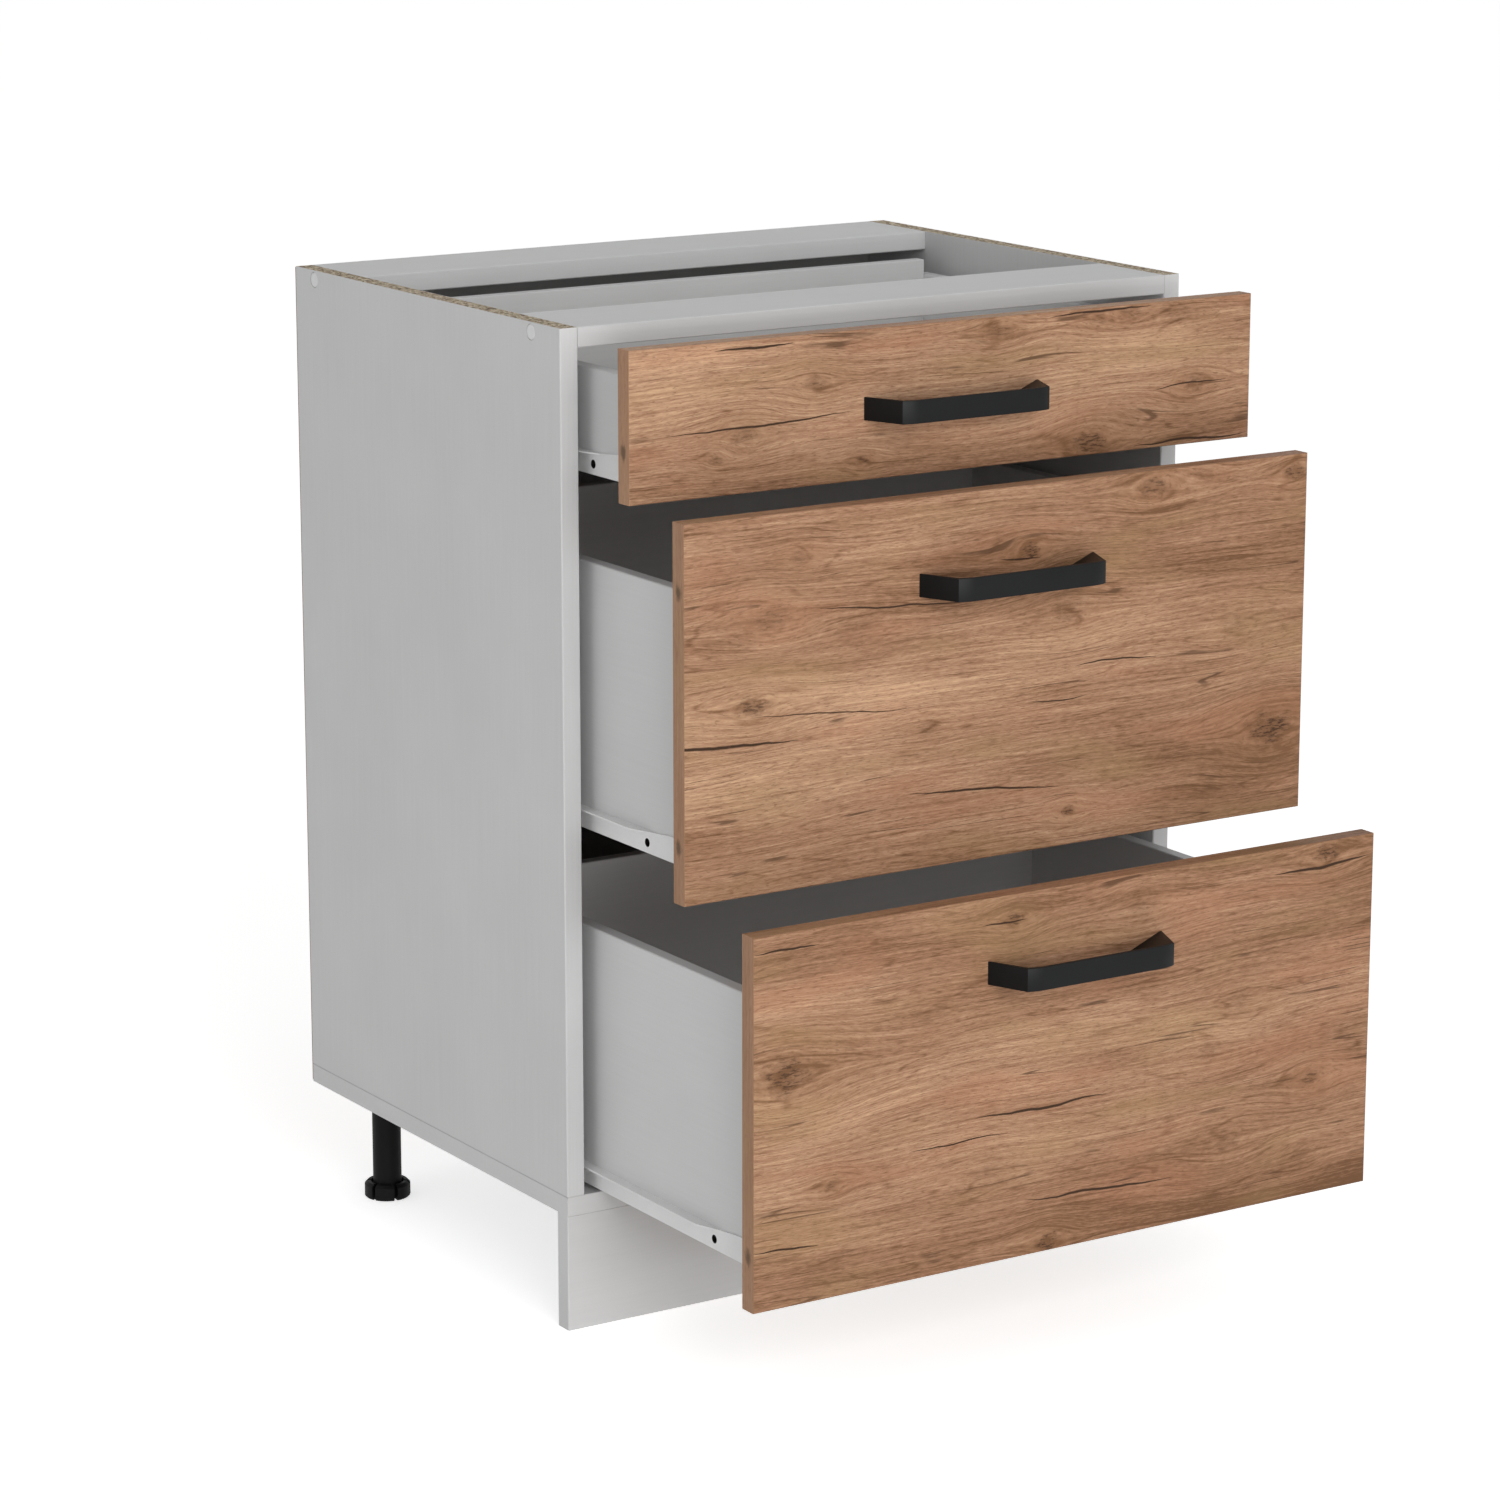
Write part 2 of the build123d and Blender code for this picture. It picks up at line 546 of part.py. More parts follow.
# Rollers: nylon wheels dished on the side of the rivet head
with BuildPart() as roller:
    with BuildSketch(Plane.XZ):
        with BuildLine():
            Polyline(
                (AXLE_DIAMETER / 2 + RUNNING_CLEARANCE, 0),
                (ROLLER_RADIUS - ROLLER_EDGE, 0),
                (ROLLER_RADIUS, ROLLER_EDGE),
                (ROLLER_RADIUS, ROLLER_WIDTH - ROLLER_EDGE),
                (ROLLER_RADIUS - ROLLER_EDGE, ROLLER_WIDTH),
                (ROLLER_HUB_DIAMETER / 2, ROLLER_WIDTH),
                (ROLLER_HUB_DIAMETER / 2, ROLLER_WIDTH - ROLLER_DISH_DEPTH),
                (AXLE_DIAMETER / 2 + RUNNING_CLEARANCE, ROLLER_WIDTH - ROLLER_DISH_DEPTH),
                close=True,
            )
        make_face()
    revolve(axis=Axis.Z)

for drawer in DRAWERS:
    with BuildPart() as cabinet_rollers:
        for sign in SIDES.values():
            seat_x = sign * (INNER_HALF - RUNNER_SHEET - ROLLER_CLEARANCE)
            seat = (seat_x, RUNNER_SETBACK + ROLLER_INSET, drawer.roller_z)
            with Locations(Plane(origin=seat, z_dir=(-sign, 0, 0))):
                add(roller.part)
    save(cabinet_rollers, f"cabinet_rollers_{drawer.number}")


def drawer_front(drawer):
    """Front board with handle holes, bolt holes and a groove for the drawer bottom."""
    half = HALF_WIDTH - FRONT_SIDE_REVEAL
    with BuildPart() as front:
        block(
            (-half, drawer.face, drawer.front_base),
            (half, drawer.back_of_front, drawer.front_top),
        )
        fillet(front.faces().sort_by(Axis.Y)[0].edges(), FRONT_EDGE_RADIUS)
        groove_half = DRAWER_INNER_HALF + GROOVE_DEPTH
        block(
            (-groove_half, drawer.back_of_front - GROOVE_DEPTH, drawer.groove_base),
            (groove_half, drawer.back_of_front, drawer.groove_top),
            Mode.SUBTRACT,
        )
        bores(drawer.handle_holes(drawer.back_of_front), (0, -1, 0), HANDLE_SCREW_DIAMETER, FRONT_THICKNESS)
        bolts = drawer.bolt_points(-1) + drawer.bolt_points(1)
        bores(bolts, (0, -1, 0), CAM_BOLT_DIAMETER, CAM_BOLT_GRIP)
    return front


def drawer_side(drawer, sign):
    """Side board with the groove for the bottom, cam pockets and holes for its fixings."""
    inner = sign * DRAWER_INNER_HALF
    outer = sign * DRAWER_HALF
    with BuildPart() as side_board:
        block(
            (min(inner, outer), drawer.back_of_front, drawer.side_base),
            (max(inner, outer), drawer.box_back, drawer.side_top),
        )
        chamfer(side_board.faces().sort_by(Axis.Z)[-1].edges().filter_by(Axis.Y), EDGE_BREAK)
        groove_floor = sign * (DRAWER_INNER_HALF + GROOVE_DEPTH)
        block(
            (min(inner, groove_floor), drawer.back_of_front, drawer.groove_base),
            (max(inner, groove_floor), drawer.box_back, drawer.groove_top),
            Mode.SUBTRACT,
        )
        bores(drawer.cam_points(sign), (sign, 0, 0), CAM_DIAMETER, CAM_DEPTH)
        bores(drawer.bolt_points(sign), (0, 1, 0), CAM_BOLT_DIAMETER, CAM_PLACE)
        screws = drawer.screw_points(outer)
        bores(screws, (-sign, 0, 0), BOX_SCREW_HEAD_DIAMETER, BOX_SCREW_HEAD)
        bores(screws, (-sign, 0, 0), BOX_SCREW_DIAMETER, DRAWER_BOARD)
        hole_z = drawer.runner_base + RUNNER_HOLE_RISE
        hole_start = (outer, drawer.back_of_front + RUNNER_HOLE_PLACE, hole_z)
        rods([hole_start], (-sign, 0, 0), RUNNER_HOLE_DIAMETER, RUNNER_PILOT_DEPTH, Mode.SUBTRACT)
    return side_board


def drawer_back(drawer):
    """Back board between the sides; it stands on the drawer bottom, so it rises above the sides."""
    with BuildPart() as back_board:
        block(
            (-DRAWER_INNER_HALF, drawer.back_of_front + DRAWER_INSIDE_DEPTH, drawer.bottom_top),
            (DRAWER_INNER_HALF, drawer.box_back, drawer.back_top),
        )
        chamfer(back_board.faces().sort_by(Axis.Z)[-1].edges().filter_by(Axis.X), EDGE_BREAK)
        for sign in SIDES.values():
            screws = drawer.screw_points(sign * DRAWER_INNER_HALF)
            bores(screws, (-sign, 0, 0), BOX_SCREW_DIAMETER, BOX_SCREW_LENGTH - DRAWER_BOARD)
    return back_board


def drawer_bottom(drawer):
    """Hardboard bottom in the grooves of the sides and the front, running under the back board."""
    reach = GROOVE_DEPTH - GROOVE_END_CLEARANCE
    half = DRAWER_INNER_HALF + reach
    with BuildPart() as bottom_board:
        block(
            (-half, drawer.back_of_front - reach, drawer.bottom_base),
            (half, drawer.box_back, drawer.bottom_top),
        )
    return bottom_board


def drawer_runner(drawer, sign):
    """Steel drawer runner: flange under the side, web beside it, lip on the cabinet roller, rear axle."""
    start = drawer.back_of_front
    end = start + RUNNER_LENGTH
    lip_top = drawer.lip_base + RUNNER_SHEET
    web_front_top = lip_top + FRONT_WEB_EXTRA
    web_outer = DRAWER_HALF + RUNNER_SHEET
    lip_outer = DRAWER_HALF + LIP_WIDTH
    with BuildPart() as runner:
        with BuildSketch(Plane.YZ.offset(min(sign * DRAWER_HALF, sign * web_outer))):
            with BuildLine():
                Polyline(
                    (start, drawer.runner_base),
                    (start, web_front_top),
                    (start + FRONT_WEB_LENGTH, web_front_top),
                    (start + LIP_START, lip_top),
                    (end, lip_top),
                    (end, drawer.runner_base),
                    close=True,
                )
            make_face()
        extrude(amount=RUNNER_SHEET)
        with BuildSketch(Plane.XY.offset(drawer.lip_base)):
            with BuildLine():
                Polyline(
                    (sign * DRAWER_HALF, start + LIP_START),
                    (sign * web_outer, start + LIP_START),
                    (sign * lip_outer, start + LIP_START + LIP_TAPER),
                    (sign * lip_outer, end),
                    (sign * DRAWER_HALF, end),
                    close=True,
                )
            make_face()
        extrude(amount=RUNNER_SHEET)
        flange = (sign * DRAWER_INNER_HALF, sign * web_outer)
        block(
            (min(flange), start, drawer.runner_base),
            (max(flange), end, drawer.runner_base + RUNNER_SHEET),
        )
        hole_z = drawer.runner_base + RUNNER_HOLE_RISE
        hole_start = (sign * DRAWER_HALF, start + RUNNER_HOLE_PLACE, hole_z)
        rods([hole_start], (sign, 0, 0), RUNNER_HOLE_DIAMETER, RUNNER_SHEET, Mode.SUBTRACT)
        for place in RUNNER_SCREW_PLACES:
            flange_start = (sign * (DRAWER_HALF - DRAWER_BOARD / 2), start + place, drawer.runner_base)
            rods([flange_start], (0, 0, 1), RUNNER_SCREW_HOLE_DIAMETER, RUNNER_SHEET, Mode.SUBTRACT)
        axle_start = (sign * web_outer, drawer.rear_roller_y, drawer.roller_z)
        rods([axle_start], (sign, 0, 0), AXLE_DIAMETER, AXLE_REACH)
        head_start = (sign * (web_outer + AXLE_REACH), drawer.rear_roller_y, drawer.roller_z)
        rods([head_start], (sign, 0, 0), AXLE_HEAD_DIAMETER, AXLE_HEAD)
    return runner


def drawer_rollers(drawer):
    """Pair of rollers on the rear axles of a drawer's runners."""
    with BuildPart() as rollers:
        for sign in SIDES.values():
            seat_x = sign * (DRAWER_HALF + RUNNER_SHEET + ROLLER_CLEARANCE)
            seat = (seat_x, drawer.rear_roller_y, drawer.roller_z)
            with Locations(Plane(origin=seat, z_dir=(sign, 0, 0))):
                add(roller.part)
    return rollers


def drawer_handle(drawer):
    """Bow handle: a bar with round shoulders whose ends run back to feet set wider than the bar."""
    foot = HANDLE_HOLE_SPACING / 2 + HANDLE_FOOT_MARGIN
    corner = foot - HANDLE_END_SPLAY
    front_y = drawer.face - HANDLE_STANDOFF
    shoulder_y = front_y + HANDLE_SHOULDER
    bar_back_y = front_y + HANDLE_BAR
    bar_end = corner - HANDLE_CORNER
    with BuildPart() as handle:
        with BuildSketch(Plane.XY.offset(drawer.handle_z - HANDLE_HEIGHT / 2)) as outline:
            with BuildLine():
                Line((-bar_end, front_y), (bar_end, front_y))
                for sign in SIDES.values():
                    TangentArc((sign * bar_end, front_y), (sign * corner, shoulder_y), tangent=(sign, 0))
                    Polyline(
                        (sign * corner, shoulder_y),
                        (sign * foot, drawer.face),
                        (sign * (foot - HANDLE_FOOT_WIDTH), drawer.face),
                        (sign * HANDLE_GAP_HALF, bar_back_y),
                    )
                Line((-HANDLE_GAP_HALF, bar_back_y), (HANDLE_GAP_HALF, bar_back_y))
            make_face()
            bar_middle_y = front_y + HANDLE_BAR / 2
            between_y = (shoulder_y + bar_back_y) / 2
            bends = outline.vertices().filter_by_position(Axis.Y, between_y, front_y + 2 * HANDLE_BAR)
            fillet(bends, HANDLE_ROUND)
            creases = outline.vertices().filter_by_position(Axis.Y, bar_middle_y, between_y)
            fillet(creases, HANDLE_CREASE)
        extrude(amount=HANDLE_HEIGHT)
        rims = handle.edges().filter_by(Plane.XY)
        fillet([e for e in rims if e.center().Y < drawer.face - HANDLE_EDGE], HANDLE_EDGE)
        bores(drawer.handle_holes(drawer.face), (0, -1, 0), HANDLE_SCREW_DIAMETER, HANDLE_SCREW_GRIP)
    return handle


def handle_screws(drawer):
    """Machine screws from inside the drawer, through the front and into the handle's feet."""
    with BuildPart() as screws:
        starts = drawer.handle_holes(drawer.back_of_front)
        length = FRONT_THICKNESS + HANDLE_SCREW_GRIP - HOLE_CLEARANCE
        rods(starts, (0, -1, 0), HANDLE_SCREW_DIAMETER, length)
        rods(starts, (0, 1, 0), HANDLE_SCREW_HEAD_DIAMETER, HANDLE_SCREW_HEAD)
    return screws


def box_fasteners(drawer):
    """Cams with their bolts at the front, and countersunk screws that hold the back board."""
    with BuildPart() as fasteners:
        for sign in SIDES.values():
            cams = drawer.cam_points(sign)
            rods(cams, (sign, 0, 0), CAM_DIAMETER, CAM_DEPTH - HOLE_CLEARANCE)
            with Locations(*cams):
                Box(2 * CAM_SLOT_DEPTH, CAM_SLOT_WIDTH, CAM_SLOT_LENGTH, mode=Mode.SUBTRACT)
            bolt_reach = CAM_PLACE - CAM_DIAMETER / 2 - 2 * HOLE_CLEARANCE
            rods(drawer.bolt_points(sign), (0, 1, 0), CAM_BOLT_DIAMETER, bolt_reach)
            rods(drawer.bolt_points(sign), (0, -1, 0), CAM_BOLT_DIAMETER, CAM_BOLT_GRIP - HOLE_CLEARANCE)
            screws = drawer.screw_points(sign * DRAWER_HALF)
            rods(screws, (-sign, 0, 0), BOX_SCREW_HEAD_DIAMETER, BOX_SCREW_HEAD)
            rods(screws, (-sign, 0, 0), BOX_SCREW_DIAMETER, BOX_SCREW_LENGTH - HOLE_CLEARANCE)
    return fasteners


for drawer in DRAWERS:
    save(drawer_front(drawer), f"{drawer.name}_front")
    save(drawer_back(drawer), f"{drawer.name}_back")
    save(drawer_bottom(drawer), f"{drawer.name}_bottom")
    save(drawer_rollers(drawer), f"{drawer.name}_rollers")
    save(drawer_handle(drawer), f"{drawer.name}_handle")
    save(handle_screws(drawer), f"{drawer.name}_handle_screws")
    save(box_fasteners(drawer), f"{drawer.name}_box_fasteners")
    for side, sign in SIDES.items():
        save(drawer_side(drawer, sign), f"{drawer.name}_side_{side}")
        save(drawer_runner(drawer, sign), f"{drawer.name}_runner_{side}")
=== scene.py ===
import json
import math

import bmesh
import bpy
from mathutils import Matrix, Vector


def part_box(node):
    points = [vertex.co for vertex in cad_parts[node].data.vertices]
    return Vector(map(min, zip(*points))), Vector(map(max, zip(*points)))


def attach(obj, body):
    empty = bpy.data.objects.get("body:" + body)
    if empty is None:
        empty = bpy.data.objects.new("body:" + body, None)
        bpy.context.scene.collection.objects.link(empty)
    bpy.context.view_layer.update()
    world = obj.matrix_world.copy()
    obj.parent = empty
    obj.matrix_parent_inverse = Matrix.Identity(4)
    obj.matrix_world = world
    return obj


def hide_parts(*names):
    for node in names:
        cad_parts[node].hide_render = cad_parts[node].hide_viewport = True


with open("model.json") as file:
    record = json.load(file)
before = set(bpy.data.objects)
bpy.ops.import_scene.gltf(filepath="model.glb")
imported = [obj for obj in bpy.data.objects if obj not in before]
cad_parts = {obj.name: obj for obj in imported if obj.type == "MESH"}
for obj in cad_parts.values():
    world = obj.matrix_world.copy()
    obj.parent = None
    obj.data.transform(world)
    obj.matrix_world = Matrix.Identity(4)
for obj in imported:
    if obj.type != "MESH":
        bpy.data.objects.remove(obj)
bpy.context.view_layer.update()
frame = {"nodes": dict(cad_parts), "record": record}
nodes = frame["nodes"]
MM = 0.001
DRAWERS = (1, 2, 3)


def linear(*levels):
    """Linear colour of three sRGB levels from 0 to 255."""
    shares = [level / 255 for level in levels]
    return tuple(s / 12.92 if s <= 0.04045 else ((s + 0.055) / 1.055) ** 2.4 for s in shares) + (1.0,)


# Camera at the photograph's viewing angle, in metres, degrees and millimetres of lens
CAMERA_PLACE = (-2.159, -3.180, 1.344)
CAMERA_YAW = 32.59
CAMERA_PITCH = 13.17
CAMERA_LENS = 115.4
CAMERA_SENSOR = 36.0

# Light, at a level where a board facing the front renders about as its colour is written
WORLD_LIGHT = 0.42
LAMP_TARGET = (0.0, 0.0, 0.4)
# Lamps: place, width and height in metres, power in watts
LAMPS = {
    "front_softbox": ((-0.6, -4.2, 1.9), 3.2, 2.4, 96.0),
    "low_softbox": ((-0.8, -4.0, 0.50), 4.0, 0.9, 50.0),
    "left_softbox": ((-4.2, -0.4, 1.1), 2.4, 2.4, 14.0),
}
WHITE = (1.0, 1.0, 1.0, 1.0)
FLOOR_RADIUS = 40.0
FLOOR_SIDES = 96
FLOOR_COLOUR = 0.90
FLOOR_ROUGHNESS = 0.9
# Light that the floor gives off where it is seen, so that it is white outside the shadow
FLOOR_LIFT = 0.62

# Marks of the oak decor in mm: along from mid-width, up from the front's lower edge
# Knots: along, up, radius, depth of colour
OAK_KNOTS = {
    "drawer_1_front": (
        (-130, 80, 8, 0.45),
        (-195, 45, 10, 0.4),
        (-85, 15, 5, 0.8),
        (135, 10, 13, 0.75),
        (240, 50, 9, 0.45),
        (45, 108, 9, 0.45),
        (142, 109, 8, 0.3),
        (176, 114, 9, 0.3),
        (224, 109, 14, 0.22),
        (178, 29, 12, 0.14),
        (-219, 28, 5, 0.5),
        (-42, 29, 14, 0.1),
    ),
    "drawer_2_front": (
        (22, 243, 8, 1.0),
        (-195, 259, 8, 0.3),
        (-236, 149, 12, 0.65),
        (266, 70, 19, 0.85),
        (63, 28, 6, 0.85),
        (286, 281, 9, 0.75),
        (-219, 215, 14, 0.3),
        (60, 190, 14, 0.3),
        (141, 282, 12, 0.6),
        (196, 288, 10, 0.22),
        (-6, 250, 13, 0.16),
        (-250, 200, 14, 0.14),
        (-143, 198, 17, 0.14),
        (226, 163, 14, 0.16),
        (-215, 78, 16, 0.12),
        (201, 30, 12, 0.16),
        (-76, 111, 9, 0.2),
    ),
    "drawer_3_front": (
        (-269, 184, 19, 0.7),
        (250, 285, 11, 0.75),
        (238, 99, 9, 0.55),
        (-228, 89, 6, 0.5),
        (-24, 7, 9, 1.0),
        (66, 267, 12, 0.25),
        (-58, 276, 8, 0.7),
        (164, 179, 12, 0.2),
        (133, 138, 12, 0.2),
        (150, 58, 15, 0.28),
        (228, 36, 9, 0.25),
        (-140, 210, 14, 0.12),
        (-82, 73, 14, 0.14),
    ),
}
# Cracks: along, up, length, width, slope
OAK_CRACKS = {
    "drawer_1_front": (
        (-180, 52, 175, 1.6, 0.02),
        (-185, 113, 75, 2.0, 0.01),
        (145, 116, 105, 1.8, 0.04),
        (238, 4, 120, 1.8, -0.01),
        (236, 50, 76, 1.2, 0.04),
    ),
    "drawer_2_front": (
        (-272, 121, 160, 2.4, -0.05),
        (12, 238, 40, 1.5, 0.0),
        (-19, 56, 150, 1.8, -0.07),
        (107, 145, 84, 1.3, -0.02),
        (-106, 213, 148, 1.4, -0.07),
        (-162, 135, 155, 1.0, -0.07),
        (50, 121, 60, 1.0, -0.05),
    ),
    "drawer_3_front": (
        (-268, 282, 60, 1.8, -0.02),
        (-31, 120, 130, 2.2, 0.0),
        (-110, 104, 95, 1.2, 0.0),
        (26, 42, 148, 2.0, -0.06),
        (245, 276, 100, 2.4, 0.04),
        (-268, 46, 60, 1.6, -0.08),
        (-68, 274, 44, 1.4, 0.04),
    ),
}
# Broad bands of painted shade at the fronts' upper and lower edges, and of painted light through their
# middle:
# up from the front's lower edge and reach, both in mm, and change of shade
OAK_PAINTED_BANDS = {
    "drawer_1_front": ((6, 22, -0.17), (118, 12, -0.05)),
    "drawer_2_front": ((232, 42, -0.09), (147, 24, 0.06), (40, 40, -0.02)),
    "drawer_3_front": ((288, 28, -0.12), (110, 34, 0.05), (8, 34, -0.16)),
}
# Painted shade of each front for the light it gets, and how far it changes from mid-width to the right end
# as the light falls off
OAK_PAINTED_SHADE = {
    "drawer_1_front": (0.01, -0.06),
    "drawer_2_front": (-0.06, -0.05),
    "drawer_3_front": (-0.08, -0.04),
}
# Dark marks on the fronts' ends: height of each above the lower edge, in mm
OAK_END_MARKS = {"drawer_1_front": (40,), "drawer_2_front": (44, 242), "drawer_3_front": (43,)}
END_MARK_RADIUS = 6 * MM
END_MARK_DEPTH = 0.85

# Noise of the oak decor: swings per metre along and across the grain
OAK_DRIFT = (3.0, 5.0)
OAK_BROAD = (3.0, 17.0)
OAK_STREAKS = (8.0, 380.0)
OAK_DASHES = (110.0, 900.0)
OAK_PORES = (150.0, 1050.0)
OAK_FIGURE = (3.4, 30.0)
OAK_RING_PATCHES = (16.0, 90.0)
OAK_CHECKS = (3.2, 78.0)
OAK_CHECK_PATCHES = (13.0, 46.0)
OAK_CASTS = (6.0, 24.0)
OAK_RAGGED = (50.0, 130.0)
OAK_SPECKS = (110.0, 480.0)
# Noise of its cracks: swings per metre along the grain, and the pattern that the breaks take
CRACK_WANDERING = 14.0
CRACK_BREAKS = 45.0
BREAK_SAMPLE = 5.0
# How far the grain sways and a crack wanders from side to side, and the depth of the relief, in metres
OAK_SWAY = 22 * MM
CRACK_WANDER = 12 * MM
OAK_RELIEF = 0.14 * MM
# Growth rings over the range of the figure, and the offset that centres the shade
OAK_RINGS = 13.0
OAK_OFFSET = -0.43
# Cracks: factor on the listed widths, core of full colour as a share of the width, taper below which
# an end fades, and the least half width in metres
CRACK_WIDTH = 1.6
CRACK_CORE = 0.35
CRACK_FADE = 0.1
LEAST_CRACK = 1e-6
# Knots, in radii along and across the grain: how far they bend the grain, and half the dark core
KNOT_REACH = (3.6, 2.0)
KNOT_CORE = (1.5, 0.9)
# Knots: share by which they push the grain aside, factor from their depth of colour to their strength,
# raggedness of the core's outline, and where the core's colour starts and is full, in cores
KNOT_PUSH = 0.85
KNOT_STRENGTH = 2.2
KNOT_RAGGED = 2.4
KNOT_EDGE = (1.05, 0.2)

# Colours of the oak decor, by shade and then for its marks
OAK_TONES = (
    (0.22, linear(104, 72, 48)),
    (0.42, linear(143, 106, 80)),
    (0.56, linear(163, 126, 99)),
    (0.78, linear(194, 158, 125)),
)
OAK_RED = linear(166, 114, 86)
OAK_OLIVE = linear(152, 122, 84)
OAK_PORE = linear(98, 68, 44)
OAK_CHECK = linear(72, 48, 30)
OAK_KNOT_RIM = linear(134, 98, 66)
OAK_KNOT_CORE = linear(100, 68, 44)
OAK_KNOT_SPECK = linear(50, 31, 17)
OAK_CRACK = linear(52, 33, 18)
OAK_END = linear(166, 128, 100)
OAK_END_MARK = linear(88, 68, 50)

# Grey boards: sRGB levels of the facing and their spread, swings per metre of the grain along and across
# the board, and the facing's thickness in metres
BOARD_LEVEL = 204
# The drawers' boards are the same facing made lighter: painted light that lifts their shaded sides
DRAWER_BOARD_LIT_LEVEL = 208
BOARD_SPREAD = 5
BOARD_GRAIN = (9.0, 420.0)
FACING = 0.5 * MM
# Line at the joint of side and bottom panels: reach up and down in metres, and core as a share of that
SEAM_REACH = 0.9 * MM
SEAM_CORE = 0.4
SEAM_GREY = linear(188, 188, 188)
# Raw chipboard: swings per metre along x, y and z, bend of the flakes in metres, factor from shade to
# height, roughness and colours by shade
CHIP_FLAKES = (620.0, 300.0, 620.0)
CHIP_CRUMBS = (1500.0, 900.0, 1500.0)
CHIP_BEND = 2 * MM
CHIP_RELIEF = 3.0
CHIP_ROUGHNESS = 0.85
CHIP_TONES = (
    (0.16, linear(72, 58, 44)),
    (0.36, linear(146, 128, 103)),
    (0.58, linear(184, 168, 142)),
    (0.84, linear(222, 208, 184)),
)
# Hardboard: colours of its fibres by shade, then roughness of the painted face and its share of the relief
FIBRE_TONES = (
    (0.3, linear(104, 76, 52)),
    (0.5, linear(128, 96, 67)),
    (0.7, linear(150, 116, 84)),
)
PAINT_ROUGHNESS = 0.48
PAINT_RELIEF = 0.15
# Flow marks in plastic: swings per metre along x, y and z
PLASTIC_FLOW = (60.0, 60.0, 25.0)
# Zinc plate: colours by cast, from cold to warm, and of its darker spots
ZINC_TONES = (
    (0.35, linear(176, 182, 190)),
    (0.5, linear(190, 191, 190)),
    (0.65, linear(196, 189, 174)),
)
ZINC_SPOT = linear(160, 162, 164)
# Beech: swings per metre along x, y and z, and colours
BEECH_GRAIN = (40.0, 600.0, 600.0)
BEECH_FLECKS = (250.0, 1400.0, 1400.0)
BEECH_TONES = (linear(186, 150, 112), linear(214, 182, 144))
BEECH_FLECK = linear(140, 100, 68)
# Painted shadow inside the hole in each drawer's runners, in metres: distance behind the front, height
# above the runner's lower side, radius, and distances from its axis where the painted shadow starts and is
# full
RUNNER_HOLE_SETBACK = 80 * MM
RUNNER_HOLE_HEIGHT = 8.3 * MM
RUNNER_HOLE_RADIUS = 3.4 * MM
RUNNER_HOLE_EDGE = (1.06 * RUNNER_HOLE_RADIUS, 1.02 * RUNNER_HOLE_RADIUS)
HOLE_PAINTED_SHADOW = linear(10, 9, 8)
# Shades at which a finish of two tones is fully dark and fully light
TWO_TONES = (0.3, 0.7)

# Screws and the sheets that they hold, in metres; heads by radius and height
WIDE_HEAD = (4.2 * MM, 2.2 * MM)
LOW_HEAD = (3.6 * MM, 1.4 * MM)
LEG_FLANGE = 3 * MM
LEG_SCREW_SPREAD = 22 * MM
BRACKET_PLACES = (-220 * MM, 0.0, 220 * MM)
BRACKET_HOLE_REACH = 20 * MM
BRACKET_SHEET = 2 * MM
RUNNER_SHEET = 1.2 * MM
RUNNER_SCREW_PLACES = (37 * MM, 165 * MM, 325 * MM)
DRAWER_BOARD_MIDDLE = 265.5 * MM
HANDLE_HOLE_HALF = 80 * MM
HANDLE_SCREW_HEAD = 2.4 * MM
HANDLE_SCREW_SHANK = 2 * MM
# A pan head's crown and cross recess, as shares of its radius and height
HEAD_CROWN = ((1.0, 0.30), (0.95, 0.58), (0.82, 0.80), (0.60, 0.94), (0.30, 1.0), (0.0, 1.0))
RECESS_SPAN = 1.15
RECESS_ARM = 0.26
RECESS_DEPTH = 0.65
# Edges that turn by more than these angles stay sharp, in degrees
SCREW_SHARP = 32
HANDLE_SHARP = 28

# Bow handle, in metres: foot, outer corner and end of the straight bar, from mid-width; how far the bar
# bows back up to its corner, and in how many steps; rounding of the rims, and its steps
HANDLE_FOOT = 83.8 * MM
HANDLE_CORNER = 70.3 * MM
HANDLE_BAR_END = 55 * MM
HANDLE_BOW = 2.8 * MM
HANDLE_BOW_STEPS = 8
HANDLE_EDGE = 0.5 * MM
HANDLE_EDGE_STEPS = 3
# Its inner side along the upper and the lower edge: foot, bend by the arm and bend by the bar,
# where each bend has its place from mid-width and its distance behind the bar's front
HANDLE_INNER_TOP = (82 * MM, (67.4 * MM, 6.0 * MM), (57 * MM, 3.2 * MM))
HANDLE_INNER_LOW = (37 * MM, (35 * MM, 12 * MM), (30 * MM, 7.5 * MM))


